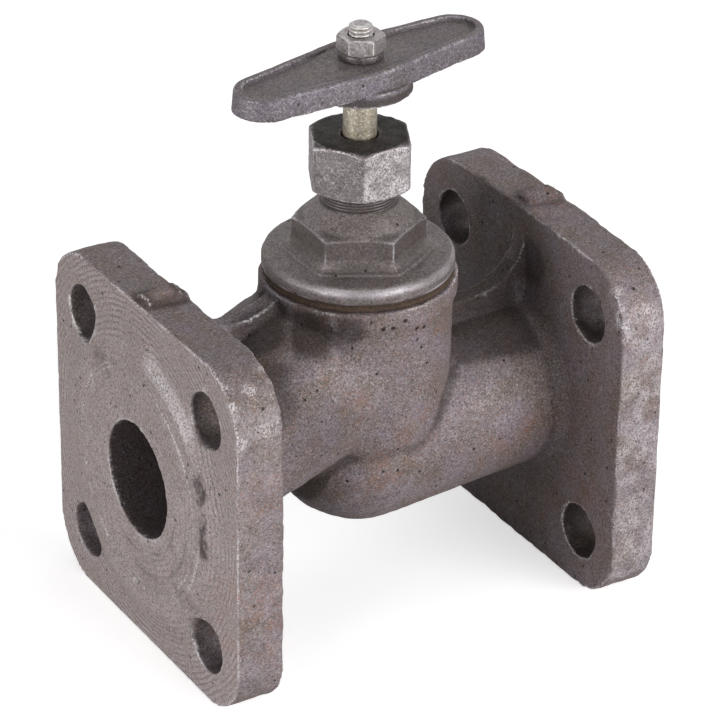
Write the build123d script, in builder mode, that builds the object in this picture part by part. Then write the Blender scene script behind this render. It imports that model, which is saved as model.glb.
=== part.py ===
import os

from build123d import *

os.makedirs("parts", exist_ok=True)

# Pipe connection, DN25 PN16, in millimetres
face_to_face = 120.0
flange_side = 90.0
flange_thickness = 12.0
flange_corner_r = 15.0
flange_edge_r = 1.2
raised_face_r = 34.0
raised_face_height = 2.0
raised_face_taper = 35.0
groove_radii = (20.0, 24.0, 28.0)
groove_width = 0.8
groove_depth = 0.4
bolt_circle_d = 85.0
bolt_hole_r = 7.0
port_r = 14.5
port_depth = 22.0

# Body casting, levels counted from the pipe axis
neck_level = 40.5
collar_r = 23.6
collar_height = 4.5
barrel_r = 22.5
barrel_foot_level = 6.0
barrel_foot_drop = 11.0
barrel_foot_r = 18.5
bowl_r = 22.0
bowl_level = -3.0
branch_root_r = 20.5
low_root_r = 21.5
root_fillet_r = 5.0
upper_mid_x = 26.0
upper_mid_level = 12.5
upper_mid_r = 23.0
upper_end_x = 6.0
upper_end_level = 17.0
upper_end_r = 20.0
rib_thickness = 5.0
rib_top_level = 40.5
rib_sag_x = 34.0
rib_sag_level = 36.0
low_rib_x = 31.0
low_rib_level = 26.0
stub_y = 2.5
stub_width = 6.0
stub_height = 1.3
stub_inset = 2.0

# Hollow of the body, levels counted from the pipe axis
wall = 5.0
neck_bore_r = 17.0
seat_r = 12.5
seat_lip_width = 2.5
seat_lip_height = 2.5
seat_thickness = 7.0
upper_hollow_x = 24.0
upper_hollow_end_level = 20.5
upper_hollow_end_r = 15.0
hollow_low_angle = -14.0
low_duct_x = 21.0
low_duct_level = -13.0
low_duct_half_width = 12.5
low_duct_half_height = 5.6

# Bonnet
gasket_thickness = 2.0
gasket_r = 21.8
bonnet_disc_r = 23.0
bonnet_disc_thickness = 4.2
bonnet_edge_r = 2.0
bonnet_crown = 0.8
plug_length = 12.5
plug_chamfer = 1.0
bonnet_hex = 27.0
bonnet_hex_height = 7.6
neck_thread_r = 9.0
neck_pitch = 1.5
neck_threads = 7
neck_cone_gap = 0.4
box_r = 6.5
box_floor = 3.0

# Packing and gland
packing_count = 4
packing_height = 2.75
follower_sleeve = 5.0
follower_collar_r = 7.9
follower_collar_height = 1.5
gland_hex = 24.0
gland_height = 12.0
gland_roof = 2.25
gland_travel = 1.5
gland_spare = 0.5
gland_hole_r = 4.5
gland_hex_turn = 3.2

# Stem and handle
stem_r = 4.0
stem_thread_r = 6.0
stem_pitch = 3.0
stem_threads = 7
stem_shoulder_gap = 0.3
stem_square = 6.0
stem_tip_r = 3.0
stem_tip_pitch = 1.0
stem_tip_threads = 8
handle_level = 87.8
boss_r = 12.3
boss_drop = 2.5
handle_half_length = 35.9
handle_centre_r = 11.0
handle_end_r = 7.7
handle_thickness = 5.5
handle_draft = 6.0
handle_rim = 2.6
handle_pocket = 1.0
handle_pad_r = 8.3
handle_pad_drop = 0.2
handle_edge_r = 0.8
handle_turn = 8.8
washer_r = 5.3
washer_thickness = 1.4
washer_slit = 1.0
handle_nut_hex = 10.0
handle_nut_height = 5.0

# Disc
disc_r = 16.0
disc_plate = 4.0
disc_hub_r = 8.5
disc_hub_height = 10.0
disc_bevel = 1.2
disc_rim = 1.1
disc_rim_drop = 3.0
stem_end_r = 5.0
stem_end_depth = 8.5
ring_level = 3.5
ring_height = 1.4
ring_bite = 1.0
ring_slit = 2.0
seal_thickness = 4.0
seat_gap = 0.25
stud_r = 4.0
stud_spare = 1.0
seal_washer_r = 10.5
seal_washer_thickness = 1.5
seal_nut_hex = 13.0
seal_nut_height = 6.0

# Fits and shared shape rules
running = 0.05
snug = 0.02
thread_depth = 0.55
hex_bevel = 0.8
hex_slope = 0.5
cut_spare = 1.0

# Levels that follow from the sizes above
axis_z = flange_side / 2
flange_back = face_to_face / 2 - raised_face_height - flange_thickness
bolt_pitch = bolt_circle_d / 2**0.5
port_end = face_to_face / 2 - port_depth
neck_z = axis_z + neck_level
plug_z = neck_z + gasket_thickness
disc_top_z = plug_z + bonnet_disc_thickness
hex_z = disc_top_z + bonnet_crown
hex_top_z = hex_z + bonnet_hex_height
thread_z = hex_top_z + bonnet_hex / 2 - neck_thread_r
neck_top_z = thread_z + neck_cone_gap + neck_threads * neck_pitch
collar_z = neck_top_z + gland_travel + gland_spare
packing_top_z = collar_z - follower_sleeve
packing_z = packing_top_z - packing_count * packing_height
box_floor_z = packing_z - box_floor
gland_roof_z = collar_z + follower_collar_height + running
gland_top_z = gland_roof_z + gland_roof
handle_z = axis_z + handle_level
plate_z = handle_z + boss_drop
rim_z = plate_z + handle_thickness
pad_z = rim_z - handle_pad_drop
washer_top_z = pad_z + washer_thickness
seat_z = axis_z + seat_lip_height
seal_z = seat_z + seat_gap
seal_top_z = seal_z + seal_thickness
hub_z = seal_top_z + disc_plate
hub_top_z = hub_z + disc_hub_height
stem_shoulder_z = hub_top_z + stem_shoulder_gap
socket_z = hub_top_z - stem_end_depth
ring_z = socket_z + ring_level
seal_nut_top_z = seal_z - seal_washer_thickness

# Section plane across the pipe: its x runs along Y and its y runs along Z
pipe = Plane(origin=(0, 0, axis_z), x_dir=(0, 1, 0), z_dir=(1, 0, 0))

# Plane through the axis of the lower branch, which climbs from the bowl to the flange
bowl = Plane(origin=(0, 0, axis_z + bowl_level), x_dir=(flange_back, 0, -bowl_level), z_dir=(0, -1, 0))
bowl_length = flange_back + flange_thickness / 2
rib_foot_x = flange_back + flange_thickness / 2


def level(height):
    return Plane.XY.offset(height)


def thread_outline(radius, pitch, turns, start):
    # crest and root points of a screw thread drawn as rings, from start upwards
    points = []
    for turn in range(turns):
        foot = start + turn * pitch
        points.append((radius - thread_depth * pitch, foot))
        points.append((radius, foot + pitch / 2))
    points.append((radius - thread_depth * pitch, start + turns * pitch))
    return points


def hex_limits(across, bottom, top):
    # outline that bevels both ends of a hexagon when it is spun about Z
    corner = across / 3**0.5
    inner = across / 2
    drop = (corner - inner) * hex_slope
    outer = corner + hex_bevel
    reach = drop + hex_bevel * hex_slope
    return [(0, bottom), (inner, bottom), (outer, bottom + reach), (outer, top - reach), (inner, top), (0, top)]


# Valve body: two flanges, an upper branch, a lower branch and the barrel in one casting
with BuildPart() as valve_body:
    for side in (-1, 1):
        with BuildSketch(pipe.offset(side * flange_back)):
            RectangleRounded(flange_side, flange_side, flange_corner_r)
        extrude(amount=side * flange_thickness)
    fillet(valve_body.edges().filter_by(Axis.X, reverse=True), flange_edge_r)

    with BuildSketch(pipe.offset(-flange_back)):
        Circle(branch_root_r)
    with BuildSketch(pipe.offset(-upper_mid_x)):
        with Locations((0, upper_mid_level)):
            Circle(upper_mid_r)
    with BuildSketch(pipe.offset(upper_end_x)):
        with Locations((0, upper_end_level)):
            Circle(upper_end_r)
    loft()

    with BuildSketch(bowl):
        with BuildLine():
            RadiusArc((-bowl_r, 0), (0, bowl_r), bowl_r)
            Polyline((0, bowl_r), (bowl_length, low_root_r), (bowl_length, 0), (-bowl_r, 0))
        make_face()
    revolve(axis=Axis(bowl.origin, bowl.x_dir))
    for side in (-1, 1):
        flare_x = side * (flange_back - root_fillet_r)
        flare_z = axis_z + branch_root_r
        with BuildSketch(Plane.XZ):
            with BuildLine():
                TangentArc((flare_x, flare_z), (side * flange_back, flare_z + root_fillet_r), tangent=(side, 0))
                Polyline((side * flange_back, flare_z + root_fillet_r), (side * rib_foot_x, flare_z + root_fillet_r),
                         (side * rib_foot_x, axis_z), (flare_x - side * root_fillet_r, axis_z),
                         (flare_x - side * root_fillet_r, axis_z + port_r), (flare_x, flare_z))
            make_face()
        revolve(axis=Axis(pipe.origin, pipe.z_dir))

    foot_z = axis_z + barrel_foot_level
    with BuildSketch(Plane.XZ):
        with BuildLine():
            Polyline((barrel_foot_r, foot_z - barrel_foot_drop), (0, foot_z - barrel_foot_drop), (0, neck_z))
            Polyline((0, neck_z), (collar_r, neck_z), (collar_r, neck_z - collar_height))
            Polyline((collar_r, neck_z - collar_height), (barrel_r, neck_z - collar_height), (barrel_r, foot_z))
            TangentArc((barrel_r, foot_z), (barrel_foot_r, foot_z - barrel_foot_drop), tangent=(0, -1))
        make_face()
    revolve(axis=Axis.Z)

    with BuildSketch(Plane.XZ):
        with BuildLine():
            ThreePointArc((-barrel_r, axis_z + rib_top_level - snug), (-rib_sag_x, axis_z + rib_sag_level),
                          (-flange_back, axis_z + rib_top_level))
            Polyline((-flange_back, axis_z + rib_top_level), (-rib_foot_x, axis_z + rib_top_level),
                     (-rib_foot_x, axis_z), (-barrel_r, axis_z), (-barrel_r, axis_z + rib_top_level - snug))
        make_face()
        with BuildLine():
            TangentArc((low_rib_x, axis_z + low_rib_level), (flange_back, axis_z + rib_top_level), tangent=(1, 0))
            Polyline((flange_back, axis_z + rib_top_level), (rib_foot_x, axis_z + rib_top_level),
                     (rib_foot_x, axis_z), (neck_bore_r + wall / 2, axis_z),
                     (neck_bore_r + wall / 2, axis_z + low_rib_level), (low_rib_x, axis_z + low_rib_level))
        make_face()
    extrude(amount=rib_thickness / 2, both=True)

    for side in (-1, 1):
        with BuildSketch(pipe.offset(side * (flange_back + flange_thickness))):
            Circle(raised_face_r)
        extrude(amount=side * raised_face_height, taper=raised_face_taper)
        with BuildSketch(pipe.offset(side * (flange_back + stub_inset))):
            with Locations((stub_y, flange_side / 2)):
                Ellipse(stub_width / 2, stub_height)
        extrude(amount=side * (flange_thickness - 2 * stub_inset))
        with BuildSketch(pipe.offset(side * flange_back)):
            with GridLocations(bolt_pitch, bolt_pitch, 2, 2):
                Circle(bolt_hole_r)
        extrude(amount=side * flange_thickness, mode=Mode.SUBTRACT)
        with BuildSketch(pipe.offset(side * face_to_face / 2)):
            for groove_r in groove_radii:
                Circle(groove_r + groove_width / 2)
                Circle(groove_r - groove_width / 2, mode=Mode.SUBTRACT)
        extrude(amount=-side * groove_depth, mode=Mode.SUBTRACT)
        with BuildSketch(pipe.offset(side * face_to_face / 2)):
            Circle(port_r)
        extrude(amount=-side * port_depth, mode=Mode.SUBTRACT)

    with BuildSketch(pipe.offset(-port_end)):
        Circle(port_r)
    with BuildSketch(pipe.offset(-upper_hollow_x)):
        with Locations((0, upper_mid_level)):
            Circle(upper_mid_r - wall)
    with BuildSketch(pipe):
        with Locations((0, upper_hollow_end_level)):
            Circle(upper_hollow_end_r)
    loft(mode=Mode.SUBTRACT)
    with BuildSketch(level(axis_z)):
        Circle(neck_bore_r)
    extrude(amount=neck_level, mode=Mode.SUBTRACT)

    with BuildSketch(Plane.XZ):
        with BuildLine():
            under_seat = CenterArc((0, axis_z + bowl_level), bowl_r - wall, -90, 90 + hollow_low_angle)
            Polyline(under_seat @ 1, (0, (under_seat @ 1).Y), under_seat @ 0)
        make_face()
    revolve(axis=Axis.Z, mode=Mode.SUBTRACT)
    with BuildSketch(pipe):
        with Locations((0, low_duct_level)):
            Ellipse(low_duct_half_width, low_duct_half_height)
    with BuildSketch(pipe.offset(low_duct_x)):
        with Locations((0, low_duct_level)):
            Ellipse(low_duct_half_width, low_duct_half_height)
    with BuildSketch(pipe.offset(port_end)):
        Circle(port_r)
    loft(ruled=True, mode=Mode.SUBTRACT)

    with BuildSketch(level(axis_z - seat_thickness / 2)):
        Circle(seat_r + seat_lip_width)
    extrude(amount=seat_thickness / 2 + seat_lip_height)
    with BuildSketch(level(seat_z)):
        Circle(seat_r)
    extrude(amount=-seat_lip_height - seat_thickness - cut_spare, mode=Mode.SUBTRACT)
valve_body.part.label = "valve_body"
export_step(valve_body.part, "parts/valve_body.step")

# Gasket between the neck of the body and the bonnet
with BuildPart() as bonnet_gasket:
    with BuildSketch(level(neck_z)):
        Circle(gasket_r)
        Circle(neck_bore_r + snug, mode=Mode.SUBTRACT)
    extrude(amount=gasket_thickness)
bonnet_gasket.part.label = "bonnet_gasket"
export_step(bonnet_gasket.part, "parts/bonnet_gasket.step")

# Bonnet: threaded plug, disc, hexagon, cone and threaded neck, bored for the stem and the packing
with BuildPart() as bonnet:
    plug_r = neck_bore_r - snug
    with BuildSketch(Plane.XZ):
        with BuildLine():
            Polyline((0, plug_z - plug_length), (plug_r - plug_chamfer, plug_z - plug_length),
                     (plug_r, plug_z - plug_length + plug_chamfer), (plug_r, plug_z), (bonnet_disc_r, plug_z),
                     (bonnet_disc_r, disc_top_z - bonnet_edge_r))
            RadiusArc((bonnet_disc_r, disc_top_z - bonnet_edge_r), (bonnet_disc_r - bonnet_edge_r, disc_top_z),
                      -bonnet_edge_r)
            Polyline((bonnet_disc_r - bonnet_edge_r, disc_top_z), (bonnet_hex / 2, hex_z), (0, hex_z),
                     (0, plug_z - plug_length))
        make_face()
    revolve(axis=Axis.Z)
    with BuildSketch(level(hex_z - bonnet_crown)):
        RegularPolygon(bonnet_hex / 2, 6, major_radius=False, rotation=30)
    extrude(amount=thread_z - hex_z + bonnet_crown)
    with BuildSketch(Plane.XZ):
        with BuildLine():
            Polyline((neck_thread_r, thread_z), (bonnet_hex, thread_z + neck_thread_r - bonnet_hex),
                     (bonnet_hex, thread_z), close=True)
        make_face()
    revolve(axis=Axis.Z, mode=Mode.SUBTRACT)
    neck_root_r = neck_thread_r - thread_depth * neck_pitch
    with BuildSketch(Plane.XZ):
        with BuildLine():
            Polyline((neck_root_r, thread_z + neck_cone_gap), (neck_root_r, thread_z), (0, thread_z),
                     (0, neck_top_z), (neck_root_r, neck_top_z))
            Polyline(*thread_outline(neck_thread_r, neck_pitch, neck_threads, thread_z + neck_cone_gap))
        make_face()
    revolve(axis=Axis.Z)
    with BuildSketch(level(plug_z - plug_length)):
        Circle(stem_thread_r + running)
    extrude(amount=box_floor_z - plug_z + plug_length, mode=Mode.SUBTRACT)
    with BuildSketch(level(box_floor_z)):
        Circle(stem_r + running)
    extrude(amount=box_floor, mode=Mode.SUBTRACT)
    with BuildSketch(level(packing_z)):
        Circle(box_r)
    extrude(amount=neck_top_z - packing_z, mode=Mode.SUBTRACT)
bonnet.part.label = "bonnet"
export_step(bonnet.part, "parts/bonnet.step")

# Packing rings, stacked in the box of the bonnet
for ring in range(packing_count):
    with BuildPart() as packing_ring:
        with BuildSketch(level(packing_z + ring * packing_height)):
            Circle(box_r - snug)
            Circle(stem_r + running, mode=Mode.SUBTRACT)
        extrude(amount=packing_height)
    packing_ring.part.label = f"packing_ring_{ring + 1}"
    export_step(packing_ring.part, f"parts/packing_ring_{ring + 1}.step")

# Gland follower: a sleeve with a collar that the gland nut presses down
with BuildPart() as gland_follower:
    with BuildSketch(level(packing_top_z)):
        Circle(box_r - running)
    extrude(amount=follower_sleeve)
    with BuildSketch(level(collar_z)):
        Circle(follower_collar_r)
    extrude(amount=follower_collar_height)
    with BuildSketch(level(packing_top_z)):
        Circle(stem_r + running)
    extrude(amount=follower_sleeve + follower_collar_height, mode=Mode.SUBTRACT)
gland_follower.part.label = "gland_follower"
export_step(gland_follower.part, "parts/gland_follower.step")

# Gland nut: a cap nut with a hole for the stem
with BuildPart() as gland_nut:
    gland_z = gland_top_z - gland_height
    with BuildSketch(level(gland_z)):
        RegularPolygon(gland_hex / 2, 6, major_radius=False, rotation=gland_hex_turn)
    extrude(amount=gland_height)
    with BuildSketch(Plane.XZ):
        with BuildLine():
            Polyline(*hex_limits(gland_hex, gland_z, gland_top_z), close=True)
        make_face()
    revolve(axis=Axis.Z, mode=Mode.INTERSECT)
    with BuildSketch(level(gland_roof_z)):
        Circle(neck_thread_r + running)
    extrude(amount=-gland_height, mode=Mode.SUBTRACT)
    with BuildSketch(level(gland_roof_z)):
        Circle(gland_hole_r)
    extrude(amount=gland_roof, mode=Mode.SUBTRACT)
gland_nut.part.label = "gland_nut"
export_step(gland_nut.part, "parts/gland_nut.step")

# Stem: ring groove for the disc, lifting thread, plain shank, square for the handle and threaded tip
with BuildPart() as stem:
    stem_end_z = socket_z + stem_shoulder_gap
    groove_low = ring_z - running
    groove_high = ring_z + ring_height + running
    groove_r = stem_end_r - ring_bite - running
    thread_root_r = stem_thread_r - thread_depth * stem_pitch
    thread_top_z = stem_shoulder_z + stem_threads * stem_pitch
    with BuildSketch(Plane.XZ):
        with BuildLine():
            Polyline((thread_root_r, thread_top_z), (stem_r, thread_top_z), (stem_r, handle_z), (0, handle_z),
                     (0, stem_end_z), (stem_end_r, stem_end_z), (stem_end_r, groove_low), (groove_r, groove_low),
                     (groove_r, groove_high), (stem_end_r, groove_high), (stem_end_r, stem_shoulder_z),
                     (thread_root_r, stem_shoulder_z))
            Polyline(*thread_outline(stem_thread_r, stem_pitch, stem_threads, stem_shoulder_z))
        make_face()
    revolve(axis=Axis.Z)
    with BuildSketch(level(handle_z)):
        Circle(stem_r)
        Rectangle(stem_square, stem_square, rotation=handle_turn, mode=Mode.INTERSECT)
    extrude(amount=pad_z - handle_z - snug)
    tip_root_r = stem_tip_r - thread_depth * stem_tip_pitch
    tip_z = pad_z - snug
    with BuildSketch(Plane.XZ):
        with BuildLine():
            Polyline((tip_root_r, tip_z), (0, tip_z), (0, tip_z + stem_tip_threads * stem_tip_pitch),
                     (tip_root_r, tip_z + stem_tip_threads * stem_tip_pitch))
            Polyline(*thread_outline(stem_tip_r, stem_tip_pitch, stem_tip_threads, tip_z))
        make_face()
    revolve(axis=Axis.Z)
stem.part.label = "stem"
export_step(stem.part, "parts/stem.step")

# Disc: holder for the soft seal, with a stud below and a socket for the stem above
with BuildPart() as disc:
    groove_low = ring_z - running
    groove_high = ring_z + ring_height + running
    socket_r = stem_end_r + running
    stud_z = seal_nut_top_z - seal_nut_height - stud_spare
    with BuildSketch(Plane.XZ):
        with BuildLine():
            Polyline((0, stud_z), (stud_r, stud_z), (stud_r, seal_top_z), (disc_r - disc_rim, seal_top_z),
                     (disc_r - disc_rim, seal_top_z - disc_rim_drop), (disc_r, seal_top_z - disc_rim_drop),
                     (disc_r, hub_z - disc_bevel), (disc_r - disc_bevel, hub_z), (disc_hub_r, hub_z),
                     (disc_hub_r, hub_top_z), (socket_r, hub_top_z), (socket_r, groove_high),
                     (socket_r + ring_bite, groove_high), (socket_r + ring_bite, groove_low),
                     (socket_r, groove_low), (socket_r, socket_z), (0, socket_z), close=True)
        make_face()
    revolve(axis=Axis.Z)
disc.part.label = "disc"
export_step(disc.part, "parts/disc.step")

# Soft seal, its washer and its nut under the disc
with BuildPart() as disc_seal:
    with BuildSketch(level(seal_z)):
        Circle(disc_r - disc_rim - snug)
        Circle(stud_r + snug, mode=Mode.SUBTRACT)
    extrude(amount=seal_thickness)
disc_seal.part.label = "disc_seal"
export_step(disc_seal.part, "parts/disc_seal.step")

with BuildPart() as seal_washer:
    with BuildSketch(level(seal_nut_top_z)):
        Circle(seal_washer_r)
        Circle(stud_r + snug, mode=Mode.SUBTRACT)
    extrude(amount=seal_washer_thickness)
seal_washer.part.label = "seal_washer"
export_step(seal_washer.part, "parts/seal_washer.step")

with BuildPart() as seal_nut:
    seal_nut_z = seal_nut_top_z - seal_nut_height
    with BuildSketch(level(seal_nut_z)):
        RegularPolygon(seal_nut_hex / 2, 6, major_radius=False)
    extrude(amount=seal_nut_height)
    with BuildSketch(Plane.XZ):
        with BuildLine():
            Polyline(*hex_limits(seal_nut_hex, seal_nut_z, seal_nut_top_z), close=True)
        make_face()
    revolve(axis=Axis.Z, mode=Mode.INTERSECT)
    with BuildSketch(level(seal_nut_z)):
        Circle(stud_r + snug)
    extrude(amount=seal_nut_height, mode=Mode.SUBTRACT)
seal_nut.part.label = "seal_nut"
export_step(seal_nut.part, "parts/seal_nut.step")

# Split ring that keeps the stem end in the disc
with BuildPart() as disc_retaining_ring:
    with BuildSketch(level(ring_z)):
        Circle(stem_end_r + ring_bite)
        Circle(stem_end_r - ring_bite, mode=Mode.SUBTRACT)
        with Locations((0, stem_end_r)):
            Rectangle(ring_slit, stem_end_r, mode=Mode.SUBTRACT)
    extrude(amount=ring_height)
disc_retaining_ring.part.label = "disc_retaining_ring"
export_step(disc_retaining_ring.part, "parts/disc_retaining_ring.step")

# Handle: a waisted bar with a boss below and a shallow pocket on top
with BuildPart() as handle:
    handle_frame = Plane(origin=(0, 0, plate_z)).rotated((0, 0, handle_turn))
    end_x = handle_half_length - handle_end_r
    with BuildSketch(handle_frame):
        Circle(handle_centre_r)
        with Locations((-end_x, 0), (end_x, 0)):
            Circle(handle_end_r)
        make_hull()
    extrude(amount=handle_thickness, taper=handle_draft)
    fillet(handle.edges().group_by(Axis.Z)[-1], handle_edge_r)
    with BuildSketch(handle_frame.offset(-boss_drop)):
        Circle(boss_r)
    extrude(amount=boss_drop + handle_edge_r, taper=handle_draft)
    with BuildSketch(handle_frame.offset(handle_thickness)):
        Circle(handle_centre_r - handle_rim)
        with Locations((-end_x, 0), (end_x, 0)):
            Circle(handle_end_r - handle_rim)
        make_hull()
    extrude(amount=-handle_pocket, mode=Mode.SUBTRACT)
    with BuildSketch(handle_frame.offset(handle_thickness - handle_pocket)):
        Circle(handle_pad_r)
    extrude(amount=handle_pocket - handle_pad_drop)
    with BuildSketch(handle_frame.offset(-boss_drop)):
        Rectangle(stem_square + running, stem_square + running)
    extrude(amount=boss_drop + handle_thickness, mode=Mode.SUBTRACT)
handle.part.label = "handle"
export_step(handle.part, "parts/handle.step")

# Split lock washer and nut on the stem tip
with BuildPart() as lock_washer:
    with BuildSketch(level(pad_z)):
        Circle(washer_r)
        Circle(stem_tip_r + running, mode=Mode.SUBTRACT)
        with Locations((0, washer_r)):
            Rectangle(washer_slit, washer_r, mode=Mode.SUBTRACT)
    extrude(amount=washer_thickness)
lock_washer.part.label = "lock_washer"
export_step(lock_washer.part, "parts/lock_washer.step")

with BuildPart() as handle_nut:
    with BuildSketch(level(washer_top_z)):
        RegularPolygon(handle_nut_hex / 2, 6, major_radius=False, rotation=30)
    extrude(amount=handle_nut_height)
    with BuildSketch(Plane.XZ):
        with BuildLine():
            Polyline(*hex_limits(handle_nut_hex, washer_top_z, washer_top_z + handle_nut_height), close=True)
        make_face()
    revolve(axis=Axis.Z, mode=Mode.INTERSECT)
    with BuildSketch(level(washer_top_z)):
        Circle(stem_tip_r + running)
    extrude(amount=handle_nut_height, mode=Mode.SUBTRACT)
handle_nut.part.label = "handle_nut"
export_step(handle_nut.part, "parts/handle_nut.step")
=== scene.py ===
import math

import bmesh
import bpy
import numpy as np
from mathutils import Matrix


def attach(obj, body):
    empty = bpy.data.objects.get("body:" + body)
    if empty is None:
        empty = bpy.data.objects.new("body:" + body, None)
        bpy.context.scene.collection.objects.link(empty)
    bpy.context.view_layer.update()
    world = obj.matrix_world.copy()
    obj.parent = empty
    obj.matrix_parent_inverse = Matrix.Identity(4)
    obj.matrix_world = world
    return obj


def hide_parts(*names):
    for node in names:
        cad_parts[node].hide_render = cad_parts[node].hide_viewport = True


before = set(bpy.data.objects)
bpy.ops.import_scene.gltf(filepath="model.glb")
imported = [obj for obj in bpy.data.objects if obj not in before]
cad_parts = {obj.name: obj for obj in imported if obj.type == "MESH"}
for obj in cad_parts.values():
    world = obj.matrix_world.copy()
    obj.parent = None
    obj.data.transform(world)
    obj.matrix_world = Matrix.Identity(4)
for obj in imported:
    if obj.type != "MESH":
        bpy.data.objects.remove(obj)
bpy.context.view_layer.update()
scene = bpy.context.scene
mm = 0.001
pipeZ = 45.0  # height of the pipe's axis over the floor, mm


# Small helpers

def linear(code):
    # sRGB hex to the linear colour that sockets take
    parts = [int(code[i:i + 2], 16) / 255 for i in (1, 3, 5)]
    return [p / 12.92 if p <= 0.04045 else ((p + 0.055) / 1.055) ** 2.4 for p in parts] + [1.0]


def addNode(tree, kind, inputs=None, **settings):
    # one node with its settings, then its socket values and links
    node = tree.nodes.new(kind)
    for name, value in settings.items():
        setattr(node, name, value)
    for socket, value in (inputs or {}).items():
        if isinstance(value, bpy.types.NodeSocket):
            tree.links.new(value, node.inputs[socket])
        else:
            node.inputs[socket].default_value = value
    return node


def grainNoise(points, size, seed):
    # smooth noise from -1 to 1: random values on a cubic lattice of that size, turned askew, eased between its corners
    source = np.random.default_rng(seed)
    lattice = source.uniform(-1, 1, (32, 32, 32))
    askew = np.linalg.qr(source.normal(size=(3, 3)))[0]
    place = points @ askew / size
    low = np.floor(place).astype(int)
    part = place - low
    part = part * part * (3 - 2 * part)
    total = np.zeros(len(points))
    for corner in range(8):
        step = np.array([corner & 1, corner >> 1 & 1, corner >> 2 & 1])
        index = (low + step) % 32
        weight = np.prod(np.where(step, part, 1 - part), axis=1)
        total += weight * lattice[index[:, 0], index[:, 1], index[:, 2]]
    return total


def ramp(values, low, high):
    # 0 below low, 1 above high, eased between
    part = np.clip((values - low) / (high - low), 0, 1)
    return part * part * (3 - 2 * part)


def softMin(a, b, round):
    # the smaller of two radii, with the corner between them rounded
    part = np.clip(0.5 + 0.5 * (b - a) / round, 0, 1)
    return b + (a - b) * part - round * part * (1 - part)


def hexRadius(angle, across, flatAt):
    # distance from the axis to the side of a hexagon whose first flat faces the angle flatAt
    turn = np.mod(angle - flatAt + math.pi / 6, math.pi / 3) - math.pi / 6
    return across / 2 / np.cos(turn)


def profileLine(corners, step):
    # points along a broken line, about one step apart, with its corners kept
    corners = np.asarray(corners, float)
    runs = np.linalg.norm(np.diff(corners, axis=0), axis=1)
    parts = [np.linspace(a, b, max(math.ceil(run / step), 1), endpoint=False)
             for a, b, run in zip(corners[:-1], corners[1:], runs)]
    return np.vstack(parts + [corners[-1:]])


def tidyMesh(mesh):
    # poles and seams are merged, and faces turned outwards
    work = bmesh.new()
    work.from_mesh(mesh)
    bmesh.ops.remove_doubles(work, verts=work.verts, dist=1e-7)
    bmesh.ops.recalc_face_normals(work, faces=work.faces)
    work.to_mesh(mesh)
    work.free()
    mesh.polygons.foreach_set("use_smooth", np.ones(len(mesh.polygons), bool))
    mesh.update()
    return mesh


def gridMesh(name, points, ring):
    # rows of points (rows, columns, 3) in mm become quads; columns close round, and rows too if ring
    rows, columns = points.shape[:2]
    index = np.arange(rows * columns).reshape(rows, columns)
    low = index if ring else index[:-1]
    high = np.roll(index, -1, axis=0) if ring else index[1:]
    quads = np.stack([low, np.roll(low, -1, axis=1), np.roll(high, -1, axis=1), high], axis=-1)
    mesh = bpy.data.meshes.new(name)
    mesh.from_pydata((points.reshape(-1, 3) * mm).tolist(), [], quads.reshape(-1, 4).tolist())
    return tidyMesh(mesh)


def spun(radius, height, angle):
    # radius (rows, columns) about the Z axis at each height and angle
    return np.stack([radius * np.cos(angle), radius * np.sin(angle), height + 0 * radius], axis=-1)


def readMesh(mesh):
    # points in mm, normals and edges as arrays
    points = np.empty(len(mesh.vertices) * 3)
    normals = np.empty(len(mesh.vertices) * 3)
    edges = np.empty(len(mesh.edges) * 2, int)
    mesh.vertices.foreach_get("co", points)
    mesh.vertices.foreach_get("normal", normals)
    mesh.edges.foreach_get("vertices", edges)
    return points.reshape(-1, 3) / mm, normals.reshape(-1, 3), edges.reshape(-1, 2)


def writePoints(mesh, points):
    mesh.vertices.foreach_set("co", (points * mm).ravel())
    mesh.update()


def neighbourMean(values, edges):
    # mean of the values at the far ends of each vertex's edges
    count = np.bincount(edges.ravel(), minlength=len(values))
    columns = [np.bincount(edges[:, 0], column[edges[:, 1]], len(values))
               + np.bincount(edges[:, 1], column[edges[:, 0]], len(values)) for column in values.T]
    return np.stack(columns, axis=1) / np.maximum(count, 1)[:, None]


def bend(points, normals, edges):
    # how sharply the surface turns at each vertex, per mm: above 0 on ridges, below 0 in hollows
    reach = np.linalg.norm(points[edges[:, 0]] - points[edges[:, 1]], axis=1)
    count = np.maximum(np.bincount(edges.ravel(), minlength=len(points)), 1)
    mean = (np.bincount(edges[:, 0], reach, len(points)) + np.bincount(edges[:, 1], reach, len(points))) / count
    rise = np.sum((points - neighbourMean(points, edges)) * normals, axis=1)
    return rise / np.maximum(mean, 1e-3) ** 2


def spread(values, edges, rounds):
    # values blurred along the surface
    for _ in range(rounds):
        values = 0.4 * values + 0.6 * neighbourMean(values[:, None], edges)[:, 0]
    return values


def paintPoints(mesh, **fields):
    for name, values in fields.items():
        layer = mesh.attributes.get(name) or mesh.attributes.new(name, "FLOAT", "POINT")
        layer.data.foreach_set("value", np.asarray(values, np.float32))


def castSkin(mesh, skin, cast, seed):
    # sand-cast skin: three sizes of grain push the surface along its normals where cast is 1, and chips bite into
    # its ridges, then ridges and hollows are marked for the material
    points, normals, edges = readMesh(mesh)
    ridge = spread(bend(points, normals, edges), edges, skin["ridgeBlur"])
    hollow = spread(np.minimum(ridge, 0), edges, skin["hollowBlur"])
    wear = ramp(ridge, *skin["wearFrom"])
    lift = np.zeros(len(points))
    for depth, size, turn in skin["grain"]:
        lift += depth * grainNoise(points, size, seed + turn)
    lift -= skin["chipDepth"] * wear * ramp(grainNoise(points, skin["chipSize"], seed + 9), 0.0, 0.7)
    wear = wear * ramp(grainNoise(points, skin["wearSize"], seed + 5), *skin["wearPatch"])
    writePoints(mesh, points + normals * (lift * cast)[:, None])
    return wear, ramp(-hollow, *skin["hollowFrom"])


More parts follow.
